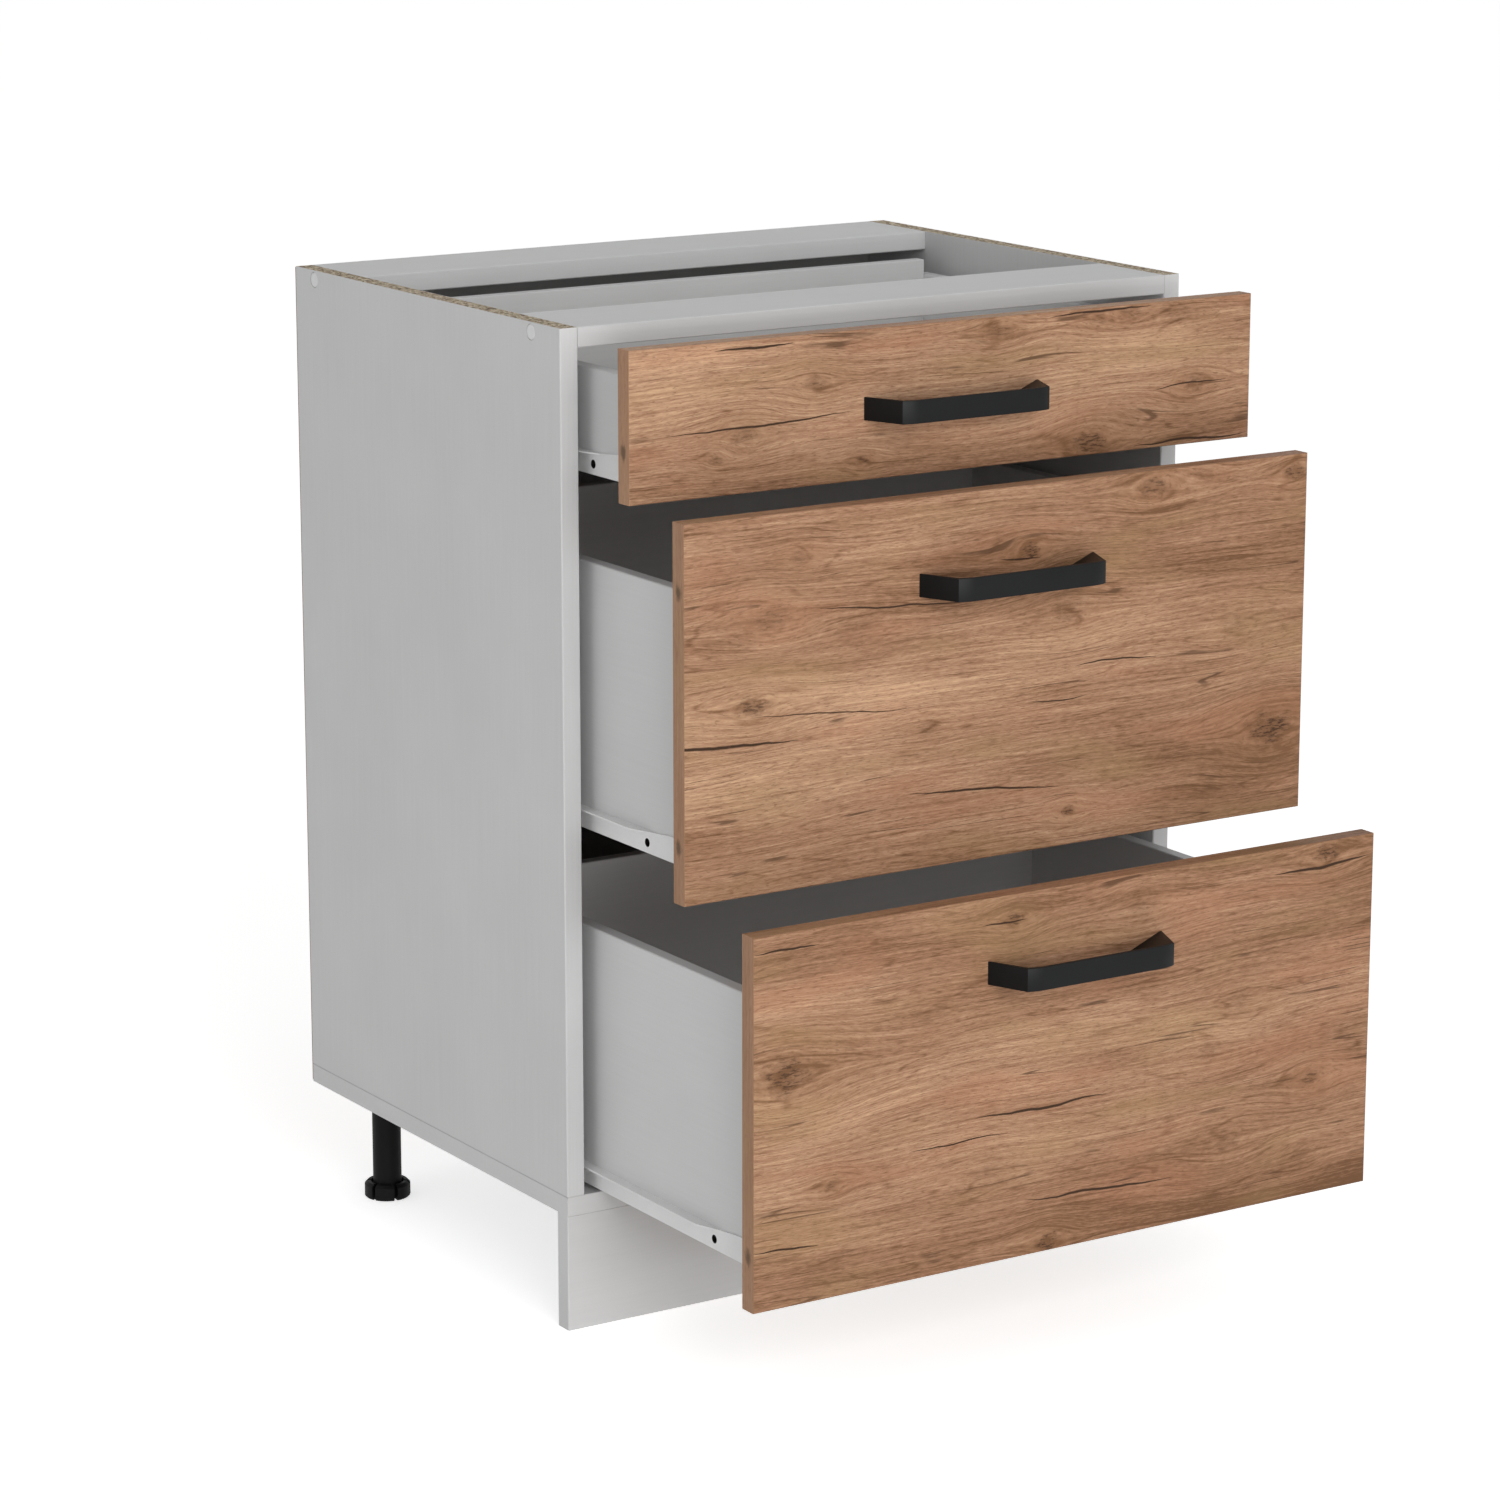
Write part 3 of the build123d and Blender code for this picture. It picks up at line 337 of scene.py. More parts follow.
class Nodes:
    """Short calls for adding shader nodes to a tree and joining them."""

    def __init__(self, tree):
        self.tree = tree

    def put(self, socket, value):
        """Links a socket to another one, or sets it to a value."""
        if isinstance(value, bpy.types.NodeSocket):
            self.tree.links.new(value, socket)
        else:
            socket.default_value = value

    def add(self, kind, inputs=None, **settings):
        node = self.tree.nodes.new("ShaderNode" + kind)
        for name, value in settings.items():
            setattr(node, name, value)
        for socket, value in (inputs or {}).items():
            self.put(node.inputs[socket], value)
        return node

    def math(self, operation, *values):
        return self.add("Math", dict(enumerate(values)), operation=operation).outputs[0]

    def in_turn(self, operation, values):
        """The result of joining several values by one operation."""
        result = values[0]
        for value in values[1:]:
            result = self.math(operation, result, value)
        return result

    def total(self, *values):
        return self.in_turn("ADD", values)

    def times(self, *values):
        return self.in_turn("MULTIPLY", values)

    def largest(self, *values):
        return self.in_turn("MAXIMUM", values)

    def weighted(self, *shares):
        """The sum of (value, weight) pairs."""
        return self.total(*[self.times(value, weight) for value, weight in shares])

    def between(self, value, low, high):
        """low where the value is 0 and high where it is 1."""
        return self.math("MULTIPLY_ADD", value, high - low, low)

    def step(self, value, low, high):
        """0 at low, 1 at high, smooth between them."""
        inputs = {"Value": value, "From Min": low, "From Max": high}
        return self.add("MapRange", inputs, interpolation_type="SMOOTHSTEP").outputs[0]

    def scaled(self, vector, *factors):
        return self.add("VectorMath", {0: vector, 1: factors}, operation="MULTIPLY").outputs[0]

    def split(self, vector):
        return self.add("SeparateXYZ", {0: vector}).outputs

    def joined(self, x, y, z):
        return self.add("CombineXYZ", {0: x, 1: y, 2: z}).outputs[0]

    def noise(self, vector, detail=2.0, roughness=0.5, distortion=0.0):
        inputs = {"Vector": vector, "Scale": 1.0, "Detail": detail, "Roughness": roughness}
        inputs["Distortion"] = distortion
        return self.add("TexNoise", inputs).outputs[0]

    def cells(self, vector):
        """A random value for each cell of a mosaic."""
        colour = self.add("TexVoronoi", {"Vector": vector, "Scale": 1.0}).outputs["Color"]
        return self.split(colour)[0]

    def choose(self, share, first, second):
        """One of two numbers, or a share of both."""
        return self.add("Mix", {0: share, 2: first, 3: second}, data_type="FLOAT").outputs[0]

    def blend(self, share, first, second):
        """One of two colours, or a share of both."""
        return self.add("Mix", {0: share, 6: first, 7: second}, data_type="RGBA").outputs[2]

    def ramp(self, value, *stops):
        """A colour for each value, through (place, colour) stops."""
        node = self.add("ValToRGB", {0: value})
        elements = node.color_ramp.elements
        elements[0].position = stops[0][0]
        elements[1].position = stops[-1][0]
        for place, _ in stops[1:-1]:
            elements.new(place)
        for element, (_, colour) in zip(elements, stops):
            element.color = colour
        return node.outputs[0]

    def two_tones(self, value, dark, light):
        return self.ramp(value, (TWO_TONES[0], dark), (TWO_TONES[1], light))

    def group(self, tree, inputs):
        """The outputs of one use of a node group."""
        return self.add("Group", inputs, node_tree=tree).outputs


class Finish(Nodes):
    """A material with one principled shader, in the object's own coordinates."""

    def __init__(self, name, **constants):
        self.material = bpy.data.materials.new(name)
        self.material.use_nodes = True
        super().__init__(self.material.node_tree)
        self.surface = self.tree.nodes["Principled BSDF"]
        coordinates = self.add("TexCoord")
        self.place = coordinates.outputs["Object"]
        self.facing = coordinates.outputs["Normal"]
        for socket, value in constants.items():
            self.set(socket.replace("_", " ").title().replace("Ior", "IOR"), value)

    def set(self, socket, value):
        self.put(self.surface.inputs[socket], value)

    def bump(self, height, depth):
        """Raises the surface by up to depth metres."""
        node = self.add("Bump", {"Height": height, "Distance": depth, "Strength": 1.0})
        self.set("Normal", node.outputs[0])

    def faces(self, *directions):
        """1 on faces that look along one of the directions, such as (0, 0, 1)."""
        shares = []
        for direction in directions:
            dot = self.add("VectorMath", {0: self.facing, 1: direction}, operation="DOT_PRODUCT")
            shares.append(self.step(dot.outputs["Value"], low=0.80, high=0.95))
        return self.largest(*shares)

    def even(self, swings, **settings):
        """Noise of one scale in all directions, with so many swings per metre."""
        return self.noise(self.scaled(self.place, swings, swings, swings), **settings)


def new_group(name, inputs, outputs):
    """An empty node group with float sockets, its input sockets and its output sockets."""
    tree = bpy.data.node_groups.new(name, "ShaderNodeTree")
    for socket in inputs:
        tree.interface.new_socket(socket, in_out="INPUT", socket_type="NodeSocketFloat")
    for socket in outputs:
        tree.interface.new_socket(socket, in_out="OUTPUT", socket_type="NodeSocketFloat")
    entry = tree.nodes.new("NodeGroupInput")
    leave = tree.nodes.new("NodeGroupOutput")
    return Nodes(tree), entry.outputs, leave.inputs


def knot_group():
    """A knot: how far it pushes the grain aside, how dark it is and how near."""
    wanted = ("along", "across", "ragged", "centre_along", "centre_across", "radius", "depth")
    n, entry, leave = new_group("oak_knot", wanted, ("shift", "dark", "near"))
    along = n.math("SUBTRACT", entry["along"], entry["centre_along"])
    across = n.math("SUBTRACT", entry["across"], entry["centre_across"])

    far_along = n.math("DIVIDE", along, n.times(entry["radius"], KNOT_REACH[0]))
    far_across = n.math("DIVIDE", across, n.times(entry["radius"], KNOT_REACH[1]))
    square = n.total(n.times(far_along, far_along), n.times(far_across, far_across))
    strength = n.math("MINIMUM", n.times(entry["depth"], KNOT_STRENGTH), 1.0)
    reach = n.times(n.math("EXPONENT", n.times(square, -1.0)), strength)
    n.put(leave["shift"], n.times(across, reach, -KNOT_PUSH))
    n.put(leave["near"], reach)

    near_along = n.math("DIVIDE", along, n.times(entry["radius"], KNOT_CORE[0]))
    near_across = n.math("DIVIDE", across, n.times(entry["radius"], KNOT_CORE[1]))
    square = n.total(n.math("POWER", near_along, 2.0), n.math("POWER", near_across, 2.0))
    uneven = n.between(entry["ragged"], -KNOT_RAGGED / 2, KNOT_RAGGED / 2)
    inside = n.step(n.total(n.math("SQRT", square), uneven), *KNOT_EDGE)
    n.put(leave["dark"], n.times(inside, entry["depth"]))
    return n.tree


def crack_group():
    """A crack along the grain: a dark line that wanders, thins out at its ends and breaks in places."""
    shared = ("along", "across", "wander", "breaks")
    own = ("centre_along", "centre_across", "length", "width", "slope")
    n, entry, leave = new_group("oak_crack", shared + own, ("dark",))
    along = n.math("SUBTRACT", entry["along"], entry["centre_along"])
    across = n.math("SUBTRACT", entry["across"], entry["centre_across"])
    sloped = n.math("SUBTRACT", across, n.times(along, entry["slope"]))
    away = n.math("ABSOLUTE", n.total(sloped, entry["wander"]))
    share = n.math("DIVIDE", n.times(along, 2.0), entry["length"])
    taper = n.math("SUBTRACT", 1.0, n.times(share, share))
    half = n.largest(n.times(taper, entry["width"], 0.5), LEAST_CRACK)
    inside = n.step(away, half, n.times(half, CRACK_CORE))
    ends = n.step(taper, low=0.0, high=CRACK_FADE)
    n.put(leave["dark"], n.times(inside, ends, entry["breaks"]))
    return n.tree


KNOT = knot_group()
CRACK = crack_group()


class Oak(Finish):
    """Rustic oak decor on one drawer front, with the grain along the front and up its ends."""

    def __init__(self, node_name, seed):
        super().__init__(node_name + "_oak", ior=1.45, specular_ior_level=0.2)
        self.node_name = node_name
        self.seed = seed
        self.low, self.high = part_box(node_name)
        self.x, y, z = self.split(self.place)
        self.end = self.faces((1, 0, 0), (-1, 0, 0))
        edge = self.largest(self.end, self.faces((0, 0, 1), (0, 0, -1)))
        self.flat = self.math("SUBTRACT", 1.0, edge)
        self.along = self.choose(self.end, self.x, z)
        self.across = self.choose(edge, z, y)
        self.ragged = self.wood(self.across, OAK_RAGGED, detail=5.0, roughness=0.75)
        self.specks = self.wood(self.across, OAK_SPECKS, detail=3.0, roughness=0.65)

    def wood(self, across, swings, sample=0.0, **settings):
        """Noise with so many swings per metre along and across the grain; sample picks another pattern."""
        spot = self.joined(self.along, across, self.seed + sample)
        return self.noise(self.scaled(spot, *swings, 1.0), **settings)

    def knot(self, centre_along, centre_across, radius, depth):
        inputs = {
            "along": self.along,
            "across": self.across,
            "ragged": self.ragged,
            "centre_along": centre_along,
            "centre_across": centre_across,
            "radius": radius,
            "depth": depth,
        }
        return self.group(KNOT, inputs)

    def knots(self):
        """The front's knots, each with its outputs shift, dark and near."""
        rows = OAK_KNOTS[self.node_name]
        return [self.knot(along * MM, self.low[2] + up * MM, r * MM, depth) for along, up, r, depth in rows]

    def end_marks(self):
        """How dark the marks on the front's ends are."""
        middle = (self.low[1] + self.high[1]) / 2
        marks = []
        for up in OAK_END_MARKS[self.node_name]:
            mark = self.knot(self.low[2] + up * MM, middle, END_MARK_RADIUS, END_MARK_DEPTH)
            marks.append(mark["dark"])
        return self.times(self.largest(*marks), self.end)

    def cracks(self):
        """How dark the front's cracks are."""
        along = self.times(self.along, CRACK_WANDERING)
        wander = self.noise(self.joined(along, self.seed, 0.0), detail=3.0)
        along = self.times(self.along, CRACK_BREAKS)
        breaks = self.noise(self.joined(along, self.seed + BREAK_SAMPLE, self.across), detail=2.0)
        shared = {
            "along": self.along,
            "across": self.across,
            "wander": self.between(wander, -CRACK_WANDER / 2, CRACK_WANDER / 2),
            "breaks": self.step(breaks, low=0.20, high=0.32),
        }
        cracks = []
        for along, up, length, width, slope in OAK_CRACKS[self.node_name]:
            own = {
                "centre_along": along * MM,
                "centre_across": self.low[2] + up * MM,
                "length": length * MM,
                "width": width * MM * CRACK_WIDTH,
                "slope": slope,
            }
            cracks.append(self.group(CRACK, {**shared, **own})["dark"])
        return self.times(self.largest(*cracks), self.flat)

    def bands(self, bent):
        """Changes of shade by the front's broad bands of painted shade and light."""
        changes = []
        for up, reach, change in OAK_PAINTED_BANDS[self.node_name]:
            away = self.math("DIVIDE", self.math("SUBTRACT", bent, self.low[2] + up * MM), reach * MM)
            share = self.math("EXPONENT", self.times(away, away, -1.0))
            changes.append(self.times(share, self.flat, change))
        return changes

    def rings(self, bent, near):
        """Growth rings, which show in patches and round knots."""
        figure = self.wood(bent, OAK_FIGURE, detail=2.0)
        level = self.math("FRACT", self.times(figure, OAK_RINGS))
        ring = self.step(self.math("ABSOLUTE", self.math("SUBTRACT", level, 0.5)), low=0.16, high=0.0)
        patches = self.step(self.wood(bent, OAK_RING_PATCHES, detail=2.0), low=0.42, high=0.62)
        return ring, self.math("MULTIPLY_ADD", near, 0.8, self.times(patches, 0.75))

    def checks(self, bent):
        """Hairline checks along the grain, in patches."""
        level = self.wood(bent, OAK_CHECKS, sample=2.0, detail=1.0)
        line = self.step(self.math("ABSOLUTE", self.math("SUBTRACT", level, 0.5)), low=0.016, high=0.004)
        patches = self.wood(bent, OAK_CHECK_PATCHES, sample=8.0, detail=2.0)
        return self.times(line, self.times(self.step(patches, low=0.54, high=0.64), self.flat))


def oak(node_name, seed):
    """The finish of one drawer front: its grain by shade, then pores, checks, knots, cracks and ends."""
    f = Oak(node_name, seed)
    knots = f.knots()
    near = f.times(f.largest(*[knot["near"] for knot in knots]), f.flat)
    knot_dark = f.times(f.largest(*[knot["dark"] for knot in knots]), f.flat)
    sway = f.between(f.wood(f.across, OAK_DRIFT, detail=1.0), -OAK_SWAY / 2, OAK_SWAY / 2)
    bent = f.total(f.across, sway, *[f.times(knot["shift"], f.flat) for knot in knots])

    broad = f.wood(bent, OAK_BROAD, detail=4.0, roughness=0.6)
    streak = f.wood(bent, OAK_STREAKS, detail=4.0, roughness=0.7)
    dash = f.wood(bent, OAK_DASHES, detail=2.0, roughness=0.6)
    pore = f.step(f.wood(bent, OAK_PORES, detail=1.0), low=0.60, high=0.70)
    ring, ring_weight = f.rings(bent, near)
    shade, fade = OAK_PAINTED_SHADE[node_name]
    tone = f.total(
        # Painted shade and light: the broad bands along the front
        *f.bands(bent),
        f.times(broad, 0.66),
        f.times(streak, 0.80),
        f.times(dash, 0.50),
        f.times(ring, ring_weight, -0.17),
        # Painted shade: the front's own shade, and a darkening towards its right end where the light falls
        # off
        f.math("MULTIPLY_ADD", f.x, fade / f.high[0], shade + OAK_OFFSET),
    )

    cast = f.wood(bent, OAK_CASTS, sample=11.0, detail=2.0)
    crack_dark = f.cracks()
    colour = f.ramp(tone, *OAK_TONES)
    colour = f.blend(f.times(f.step(cast, low=0.52, high=0.72), 0.25), colour, OAK_RED)
    colour = f.blend(f.times(f.step(cast, low=0.48, high=0.28), 0.34), colour, OAK_OLIVE)
    colour = f.blend(f.times(pore, 0.45), colour, OAK_PORE)
    colour = f.blend(f.times(f.checks(bent), 0.75), colour, OAK_CHECK)
    colour = f.blend(f.times(near, 0.26), colour, OAK_KNOT_RIM)
    colour = f.blend(f.times(knot_dark, 0.75), colour, OAK_KNOT_CORE)
    colour = f.blend(f.times(knot_dark, f.step(f.specks, low=0.46, high=0.60)), colour, OAK_KNOT_SPECK)
    colour = f.blend(crack_dark, colour, OAK_CRACK)
    colour = f.blend(f.times(f.end, 0.55), colour, OAK_END)
    colour = f.blend(f.end_marks(), colour, OAK_END_MARK)
    f.set("Base Color", colour)
    f.set("Roughness", f.math("MULTIPLY_ADD", pore, 0.12, f.between(streak, 0.48, 0.64)))
    f.bump(f.weighted((pore, -0.5), (crack_dark, -0.8), (dash, 0.35)), OAK_RELIEF)
    return f.material


def chipboard(f):
    """Colour and height of a raw chipboard edge: pressed flakes of 1 to 3 mm."""
    warp = f.even(swings=300.0, detail=2.0)
    bend = f.scaled(f.joined(warp, warp, warp), CHIP_BEND, CHIP_BEND, CHIP_BEND)
    bent = f.add("VectorMath", {0: f.place, 1: bend}, operation="ADD").outputs[0]
    flake = f.cells(f.scaled(bent, *CHIP_FLAKES))
    crumb = f.noise(f.scaled(f.place, *CHIP_CRUMBS), detail=3.0, roughness=0.65)
    tone = f.total(f.weighted((flake, 0.65), (crumb, 0.7)), -0.16)
    return f.ramp(tone, *CHIP_TONES), tone


def painted_hole_shadow(f, colour, hole):
    """The colour with a painted shadow inside a bore across x at hole, a (y, z) place."""
    place = f.split(f.place)
    aside = f.joined(f.math("SUBTRACT", place[1], hole[0]), f.math("SUBTRACT", place[2], hole[1]), 0.0)
    away = f.add("VectorMath", {0: aside}, operation="LENGTH").outputs["Value"]
    return f.blend(f.step(away, *RUNNER_HOLE_EDGE), colour, HOLE_PAINTED_SHADOW)


def grey_board(name, along, raw=(), core=None, hole=None, seam=None, level=BOARD_LEVEL):
    """Light grey melamine facing of one sRGB level, with a faint grain along an axis, 0 for x to 2 for z.

    Faces that look along a direction in raw are raw chipboard. core gives the lowest and the highest
    distance from mid-width between the facings, where such an edge shows its chips. hole is the (y, z) of a
    bore across the board, with a painted shadow inside, and seam the z of a joint that shows as a darker
    line.
    """
    f = Finish(name, ior=1.45)
    swings = [BOARD_GRAIN[1]] * 3
    swings[along] = BOARD_GRAIN[0]
    lines = f.noise(f.scaled(f.place, *swings), detail=3.0, roughness=0.6)
    cloud = f.even(swings=9.0, detail=2.0)
    pearl = f.even(swings=1300.0, detail=2.0, roughness=0.6)
    tone = f.weighted((lines, 0.30), (cloud, 0.4), (pearl, 0.3))
    dark, light = level - BOARD_SPREAD, level + BOARD_SPREAD
    colour = f.two_tones(tone, linear(dark, dark, dark), linear(light, light, light))
    height = f.weighted((pearl, 0.6), (lines, 0.25))
    roughness = f.between(pearl, 0.40, 0.54)
    if raw:
        bare = f.faces(*raw)
        if core:
            aside = f.math("ABSOLUTE", f.split(f.place)[0])
            inner = f.times(f.math("GREATER_THAN", aside, core[0]), f.math("LESS_THAN", aside, core[1]))
            bare = f.times(bare, inner)
        flakes, relief = chipboard(f)
        colour = f.blend(bare, colour, flakes)
        height = f.choose(bare, height, f.times(relief, CHIP_RELIEF))
        roughness = f.choose(bare, roughness, CHIP_ROUGHNESS)
    if hole:
        colour = painted_hole_shadow(f, colour, hole)
    if seam:
        gap = f.math("ABSOLUTE", f.math("SUBTRACT", f.split(f.place)[2], seam))
        colour = f.blend(f.step(gap, SEAM_REACH, SEAM_CORE * SEAM_REACH), colour, SEAM_GREY)
    f.set("Base Color", colour)
    f.set("Roughness", roughness)
    f.bump(height, depth=0.06 * MM)
    return f.material


def hardboard(name, faced, dark, light):
    """Thin hardboard: one smooth painted face, from dark to light, and brown felted fibres elsewhere."""
    f = Finish(name, ior=1.45)
    fibre = f.even(swings=500.0, detail=4.0, roughness=0.7, distortion=0.6)
    cloud = f.even(swings=22.0, detail=3.0)
    tone = f.weighted((fibre, 0.6), (cloud, 0.4))
    face = f.faces(faced)
    f.set("Base Color", f.blend(face, f.ramp(tone, *FIBRE_TONES), f.two_tones(tone, dark, light)))
    f.set("Roughness", f.choose(face, f.between(fibre, 0.6, 0.9), PAINT_ROUGHNESS))
    f.bump(f.times(fibre, f.choose(face, 1.0, PAINT_RELIEF)), depth=0.2 * MM)
    return f.material


def coated_metal(name, dark, light, roughness, grain, gloss, hole=None):
    """Sheet or cast metal with a coat of paint: fine orange peel and slight changes of gloss."""
    f = Finish(name, ior=1.48, specular_ior_level=gloss)
    peel = f.even(grain, detail=2.0, roughness=0.55)
    cloud = f.even(swings=40.0, detail=3.0)
    tone = f.math("MULTIPLY_ADD", cloud, 0.7, f.times(peel, 0.3))
    colour = f.two_tones(tone, dark, light)
    # Painted shadow inside the bore, where a hole is given
    f.set("Base Color", painted_hole_shadow(f, colour, hole) if hole else colour)
    f.set("Roughness", f.between(cloud, roughness - 0.07, roughness + 0.07))
    f.bump(peel, depth=0.03 * MM)
    return f.material


def moulded_plastic(name, dark, light, roughness, grain, depth, gloss):
    """Moulded plastic with a spark-eroded texture and faint flow marks."""
    f = Finish(name, ior=1.49, specular_ior_level=gloss)
    texture = f.even(grain, detail=3.0, roughness=0.6)
    flow = f.noise(f.scaled(f.place, *PLASTIC_FLOW), detail=2.0, distortion=0.8)
    tone = f.math("MULTIPLY_ADD", flow, 0.6, f.times(texture, 0.4))
    f.set("Base Color", f.two_tones(tone, dark, light))
    f.set("Roughness", f.between(texture, roughness - 0.1, roughness + 0.1))
    f.bump(texture, depth)
    return f.material


def zinc(name):
    """Bright zinc plate: mottled grey metal with a faint warm and cold cast."""
    f = Finish(name, metallic=1.0)
    mottle = f.even(swings=260.0, detail=4.0, roughness=0.6)
    colour = f.ramp(f.even(swings=60.0, detail=2.0), *ZINC_TONES)
    f.set("Base Color", f.blend(f.step(mottle, low=0.6, high=0.75), colour, ZINC_SPOT))
    f.set("Roughness", f.between(mottle, 0.20, 0.45))
    f.bump(mottle, depth=0.03 * MM)
    return f.material


def beech(name):
    """Beech turned into dowels: pale wood with short dark flecks along the grain."""
    f = Finish(name, ior=1.45)
    grain = f.noise(f.scaled(f.place, *BEECH_GRAIN), detail=3.0)
    fleck = f.noise(f.scaled(f.place, *BEECH_FLECKS), detail=1.0)
    share = f.times(f.step(fleck, low=0.60, high=0.70), 0.5)
    f.set("Base Color", f.blend(share, f.two_tones(grain, *BEECH_TONES), BEECH_FLECK))
    f.set("Roughness", f.between(grain, 0.5, 0.7))
    f.bump(grain, depth=0.1 * MM)
    return f.material


def white_coat(name, hole=None):
    """White coat of the steel runners, with a painted shadow inside their hole where one is given."""
    dark, light = linear(222, 222, 222), linear(230, 230, 230)
    return coated_metal(name, dark, light, roughness=0.36, grain=900.0, gloss=0.5, hole=hole)


def black_coat(name):
    """Satin black coat of the cast handles."""
    dark, light = linear(8, 9, 10), linear(12, 13, 14)
    return coated_metal(name, dark, light, roughness=0.42, grain=1800.0, gloss=0.17)


def black_plastic(name):
    """Black plastic of the legs and feet."""
    dark, light = linear(13, 13, 13), linear(18, 18, 18)
    return moulded_plastic(name, dark, light, roughness=0.55, grain=1600.0, depth=0.05 * MM, gloss=0.11)


def grey_plastic(name):
    """Light grey plastic of the cover caps, lighter than the boards, partly a painted highlight of their
    lit domed rim.
    """
    dark, light = linear(214, 214, 214), linear(224, 224, 224)
    return moulded_plastic(name, dark, light, roughness=0.32, grain=1500.0, depth=0.03 * MM, gloss=0.5)


def nylon(name):
    """Ivory nylon of the rollers."""
    dark, light = linear(214, 214, 208), linear(226, 226, 221)
    return moulded_plastic(name, dark, light, roughness=0.40, grain=1200.0, depth=0.02 * MM, gloss=0.5)


def shared_finishes():
    """A finish for each slot of the record that several nodes share."""
    return {
        "grey_board": grey_board("grey_board_across", along=0),
        "black_metal": black_coat("black_coat"),
        "white_steel": white_coat("white_coat"),
        "black_plastic": black_plastic("black_plastic"),
        "grey_plastic": grey_plastic("grey_plastic"),
        "nylon": nylon("nylon"),
        "zinc_steel": zinc("zinc_plate"),
        "beech": beech("beech"),
        "hardboard": hardboard("bottom_hardboard", (0, 0, 1), linear(224, 224, 222), linear(234, 234, 232)),
    }


def own_finishes():
    """Finishes by node, for the boards and runners that differ from the others of their slot."""
    panel_low, panel_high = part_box("side_panel_right")
    core = (panel_low[0] + FACING, panel_high[0] - FACING)
    raw = ((0, 0, 1), (0, 1, 0))
    upright = grey_board("grey_board_upright", along=2, raw=raw, core=core, seam=panel_low[2])
    own = {"side_panel_left": upright, "side_panel_right": upright}
    own["bottom_panel"] = grey_board("grey_board_bottom", along=0, seam=panel_low[2])
    for number in DRAWERS:
        # Each drawer's side boards and runners get a painted shadow inside the runner's hole
        hole_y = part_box(f"drawer_{number}_front")[1][1] + RUNNER_HOLE_SETBACK
        hole_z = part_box(f"drawer_{number}_runner_left")[0][2] + RUNNER_HOLE_HEIGHT
        hole = (hole_y, hole_z)
        # Drawer boards lighter by painted light, with the runner hole's painted shadow
        deep = grey_board(f"grey_board_deep_{number}", along=1, hole=hole, level=DRAWER_BOARD_LIT_LEVEL)
        steel = white_coat(f"white_coat_{number}", hole)
        for side in ("left", "right"):
            own[f"drawer_{number}_side_{side}"] = deep
            own[f"drawer_{number}_runner_{side}"] = steel
        own[f"drawer_{number}_front"] = oak(f"drawer_{number}_front", seed=7.0 * number)
    # The back panel's face is a darker grey than the drawer bottoms' white: painted shade for the cabinet's
    # deep inside
    shaded_back_face = linear(168, 167, 165), linear(178, 177, 175)
    own["back_panel"] = hardboard("back_hardboard", (0, -1, 0), *shaded_back_face)
    return own


def dress_frame():
    """Gives every node its own finish or the one that its slot in the record shares, and returns these."""
    shared = shared_finishes()
    own = own_finishes()
    for row in frame["record"]["subparts"]:
        materials = nodes[row["node"]].data.materials
        materials.clear()
        materials.append(own.get(row["node"]) or shared[row["material_slot"]])
    return shared


def loose_object(name, shape):
    """A new object in the scene from a bmesh, which is used up."""
    mesh = bpy.data.meshes.new(name)
    shape.to_mesh(mesh)
    shape.free()
    holder = bpy.data.objects.new(name, mesh)
    bpy.context.scene.collection.objects.link(holder)
    return holder


def smooth(piece, sharp_angle):
    """Shades a piece smooth, apart from edges that turn by more than an angle in degrees."""
    piece.data.shade_smooth()
    piece.data.set_sharp_from_angle(angle=math.radians(sharp_angle))


def handle_side(standoff, inner):
    """One half of the handle's outline at one height, from the bar's front round the arm to the bar's back.

    Its points are (distance from mid-width, distance from the drawer's face).
    """
    run = HANDLE_CORNER - HANDLE_BAR_END
    radius = (run ** 2 + HANDLE_BOW ** 2) / (2 * HANDLE_BOW)
    turn = math.asin(run / radius)
    points = []
    for i in range(HANDLE_BOW_STEPS + 1):
        angle = turn * i / HANDLE_BOW_STEPS
        across = HANDLE_BAR_END + radius * math.sin(angle)
        points.append((across, standoff - radius * (1 - math.cos(angle))))
    foot, *bends = inner
    points += [(HANDLE_FOOT, 0.0), (foot, 0.0)]
    points += [(across, standoff - depth) for across, depth in bends]
    return points


def bow_handle(number, finish):
    """A cast bow handle: thin along its upper edge, its arms thicker below where the screws go in."""
    drawer = f"drawer_{number}"
    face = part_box(f"{drawer}_front")[0][1]
    low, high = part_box(f"{drawer}_handle")
    standoff = face - low[1]
    shape = bmesh.new()
    rings = []
    for level, inner in ((low[2], HANDLE_INNER_LOW), (high[2], HANDLE_INNER_TOP)):
        half = handle_side(standoff, inner)
        outline = half + [(-across, out) for across, out in reversed(half)]
        rings.append([shape.verts.new((across, face - out, level)) for across, out in outline])
    for i in range(len(rings[0])):
        after = (i + 1) % len(rings[0])
        shape.faces.new((rings[0][i], rings[0][after], rings[1][after], rings[1][i]))
    caps = [shape.faces.new(ring) for ring in rings]
    bmesh.ops.recalc_face_normals(shape, faces=shape.faces)
    rims = [e for cap in caps for e in cap.edges if min(v.co.y for v in e.verts) < face - HANDLE_EDGE]
    rounding = {"offset": HANDLE_EDGE, "segments": HANDLE_EDGE_STEPS, "profile": 0.5}
    bmesh.ops.bevel(shape, geom=rims, affect="EDGES", **rounding)
    piece = loose_object(f"{drawer}_handle_cast", shape)
    smooth(piece, HANDLE_SHARP)
    piece.data.materials.append(finish)
    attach(piece, drawer)
    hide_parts(f"{drawer}_handle")


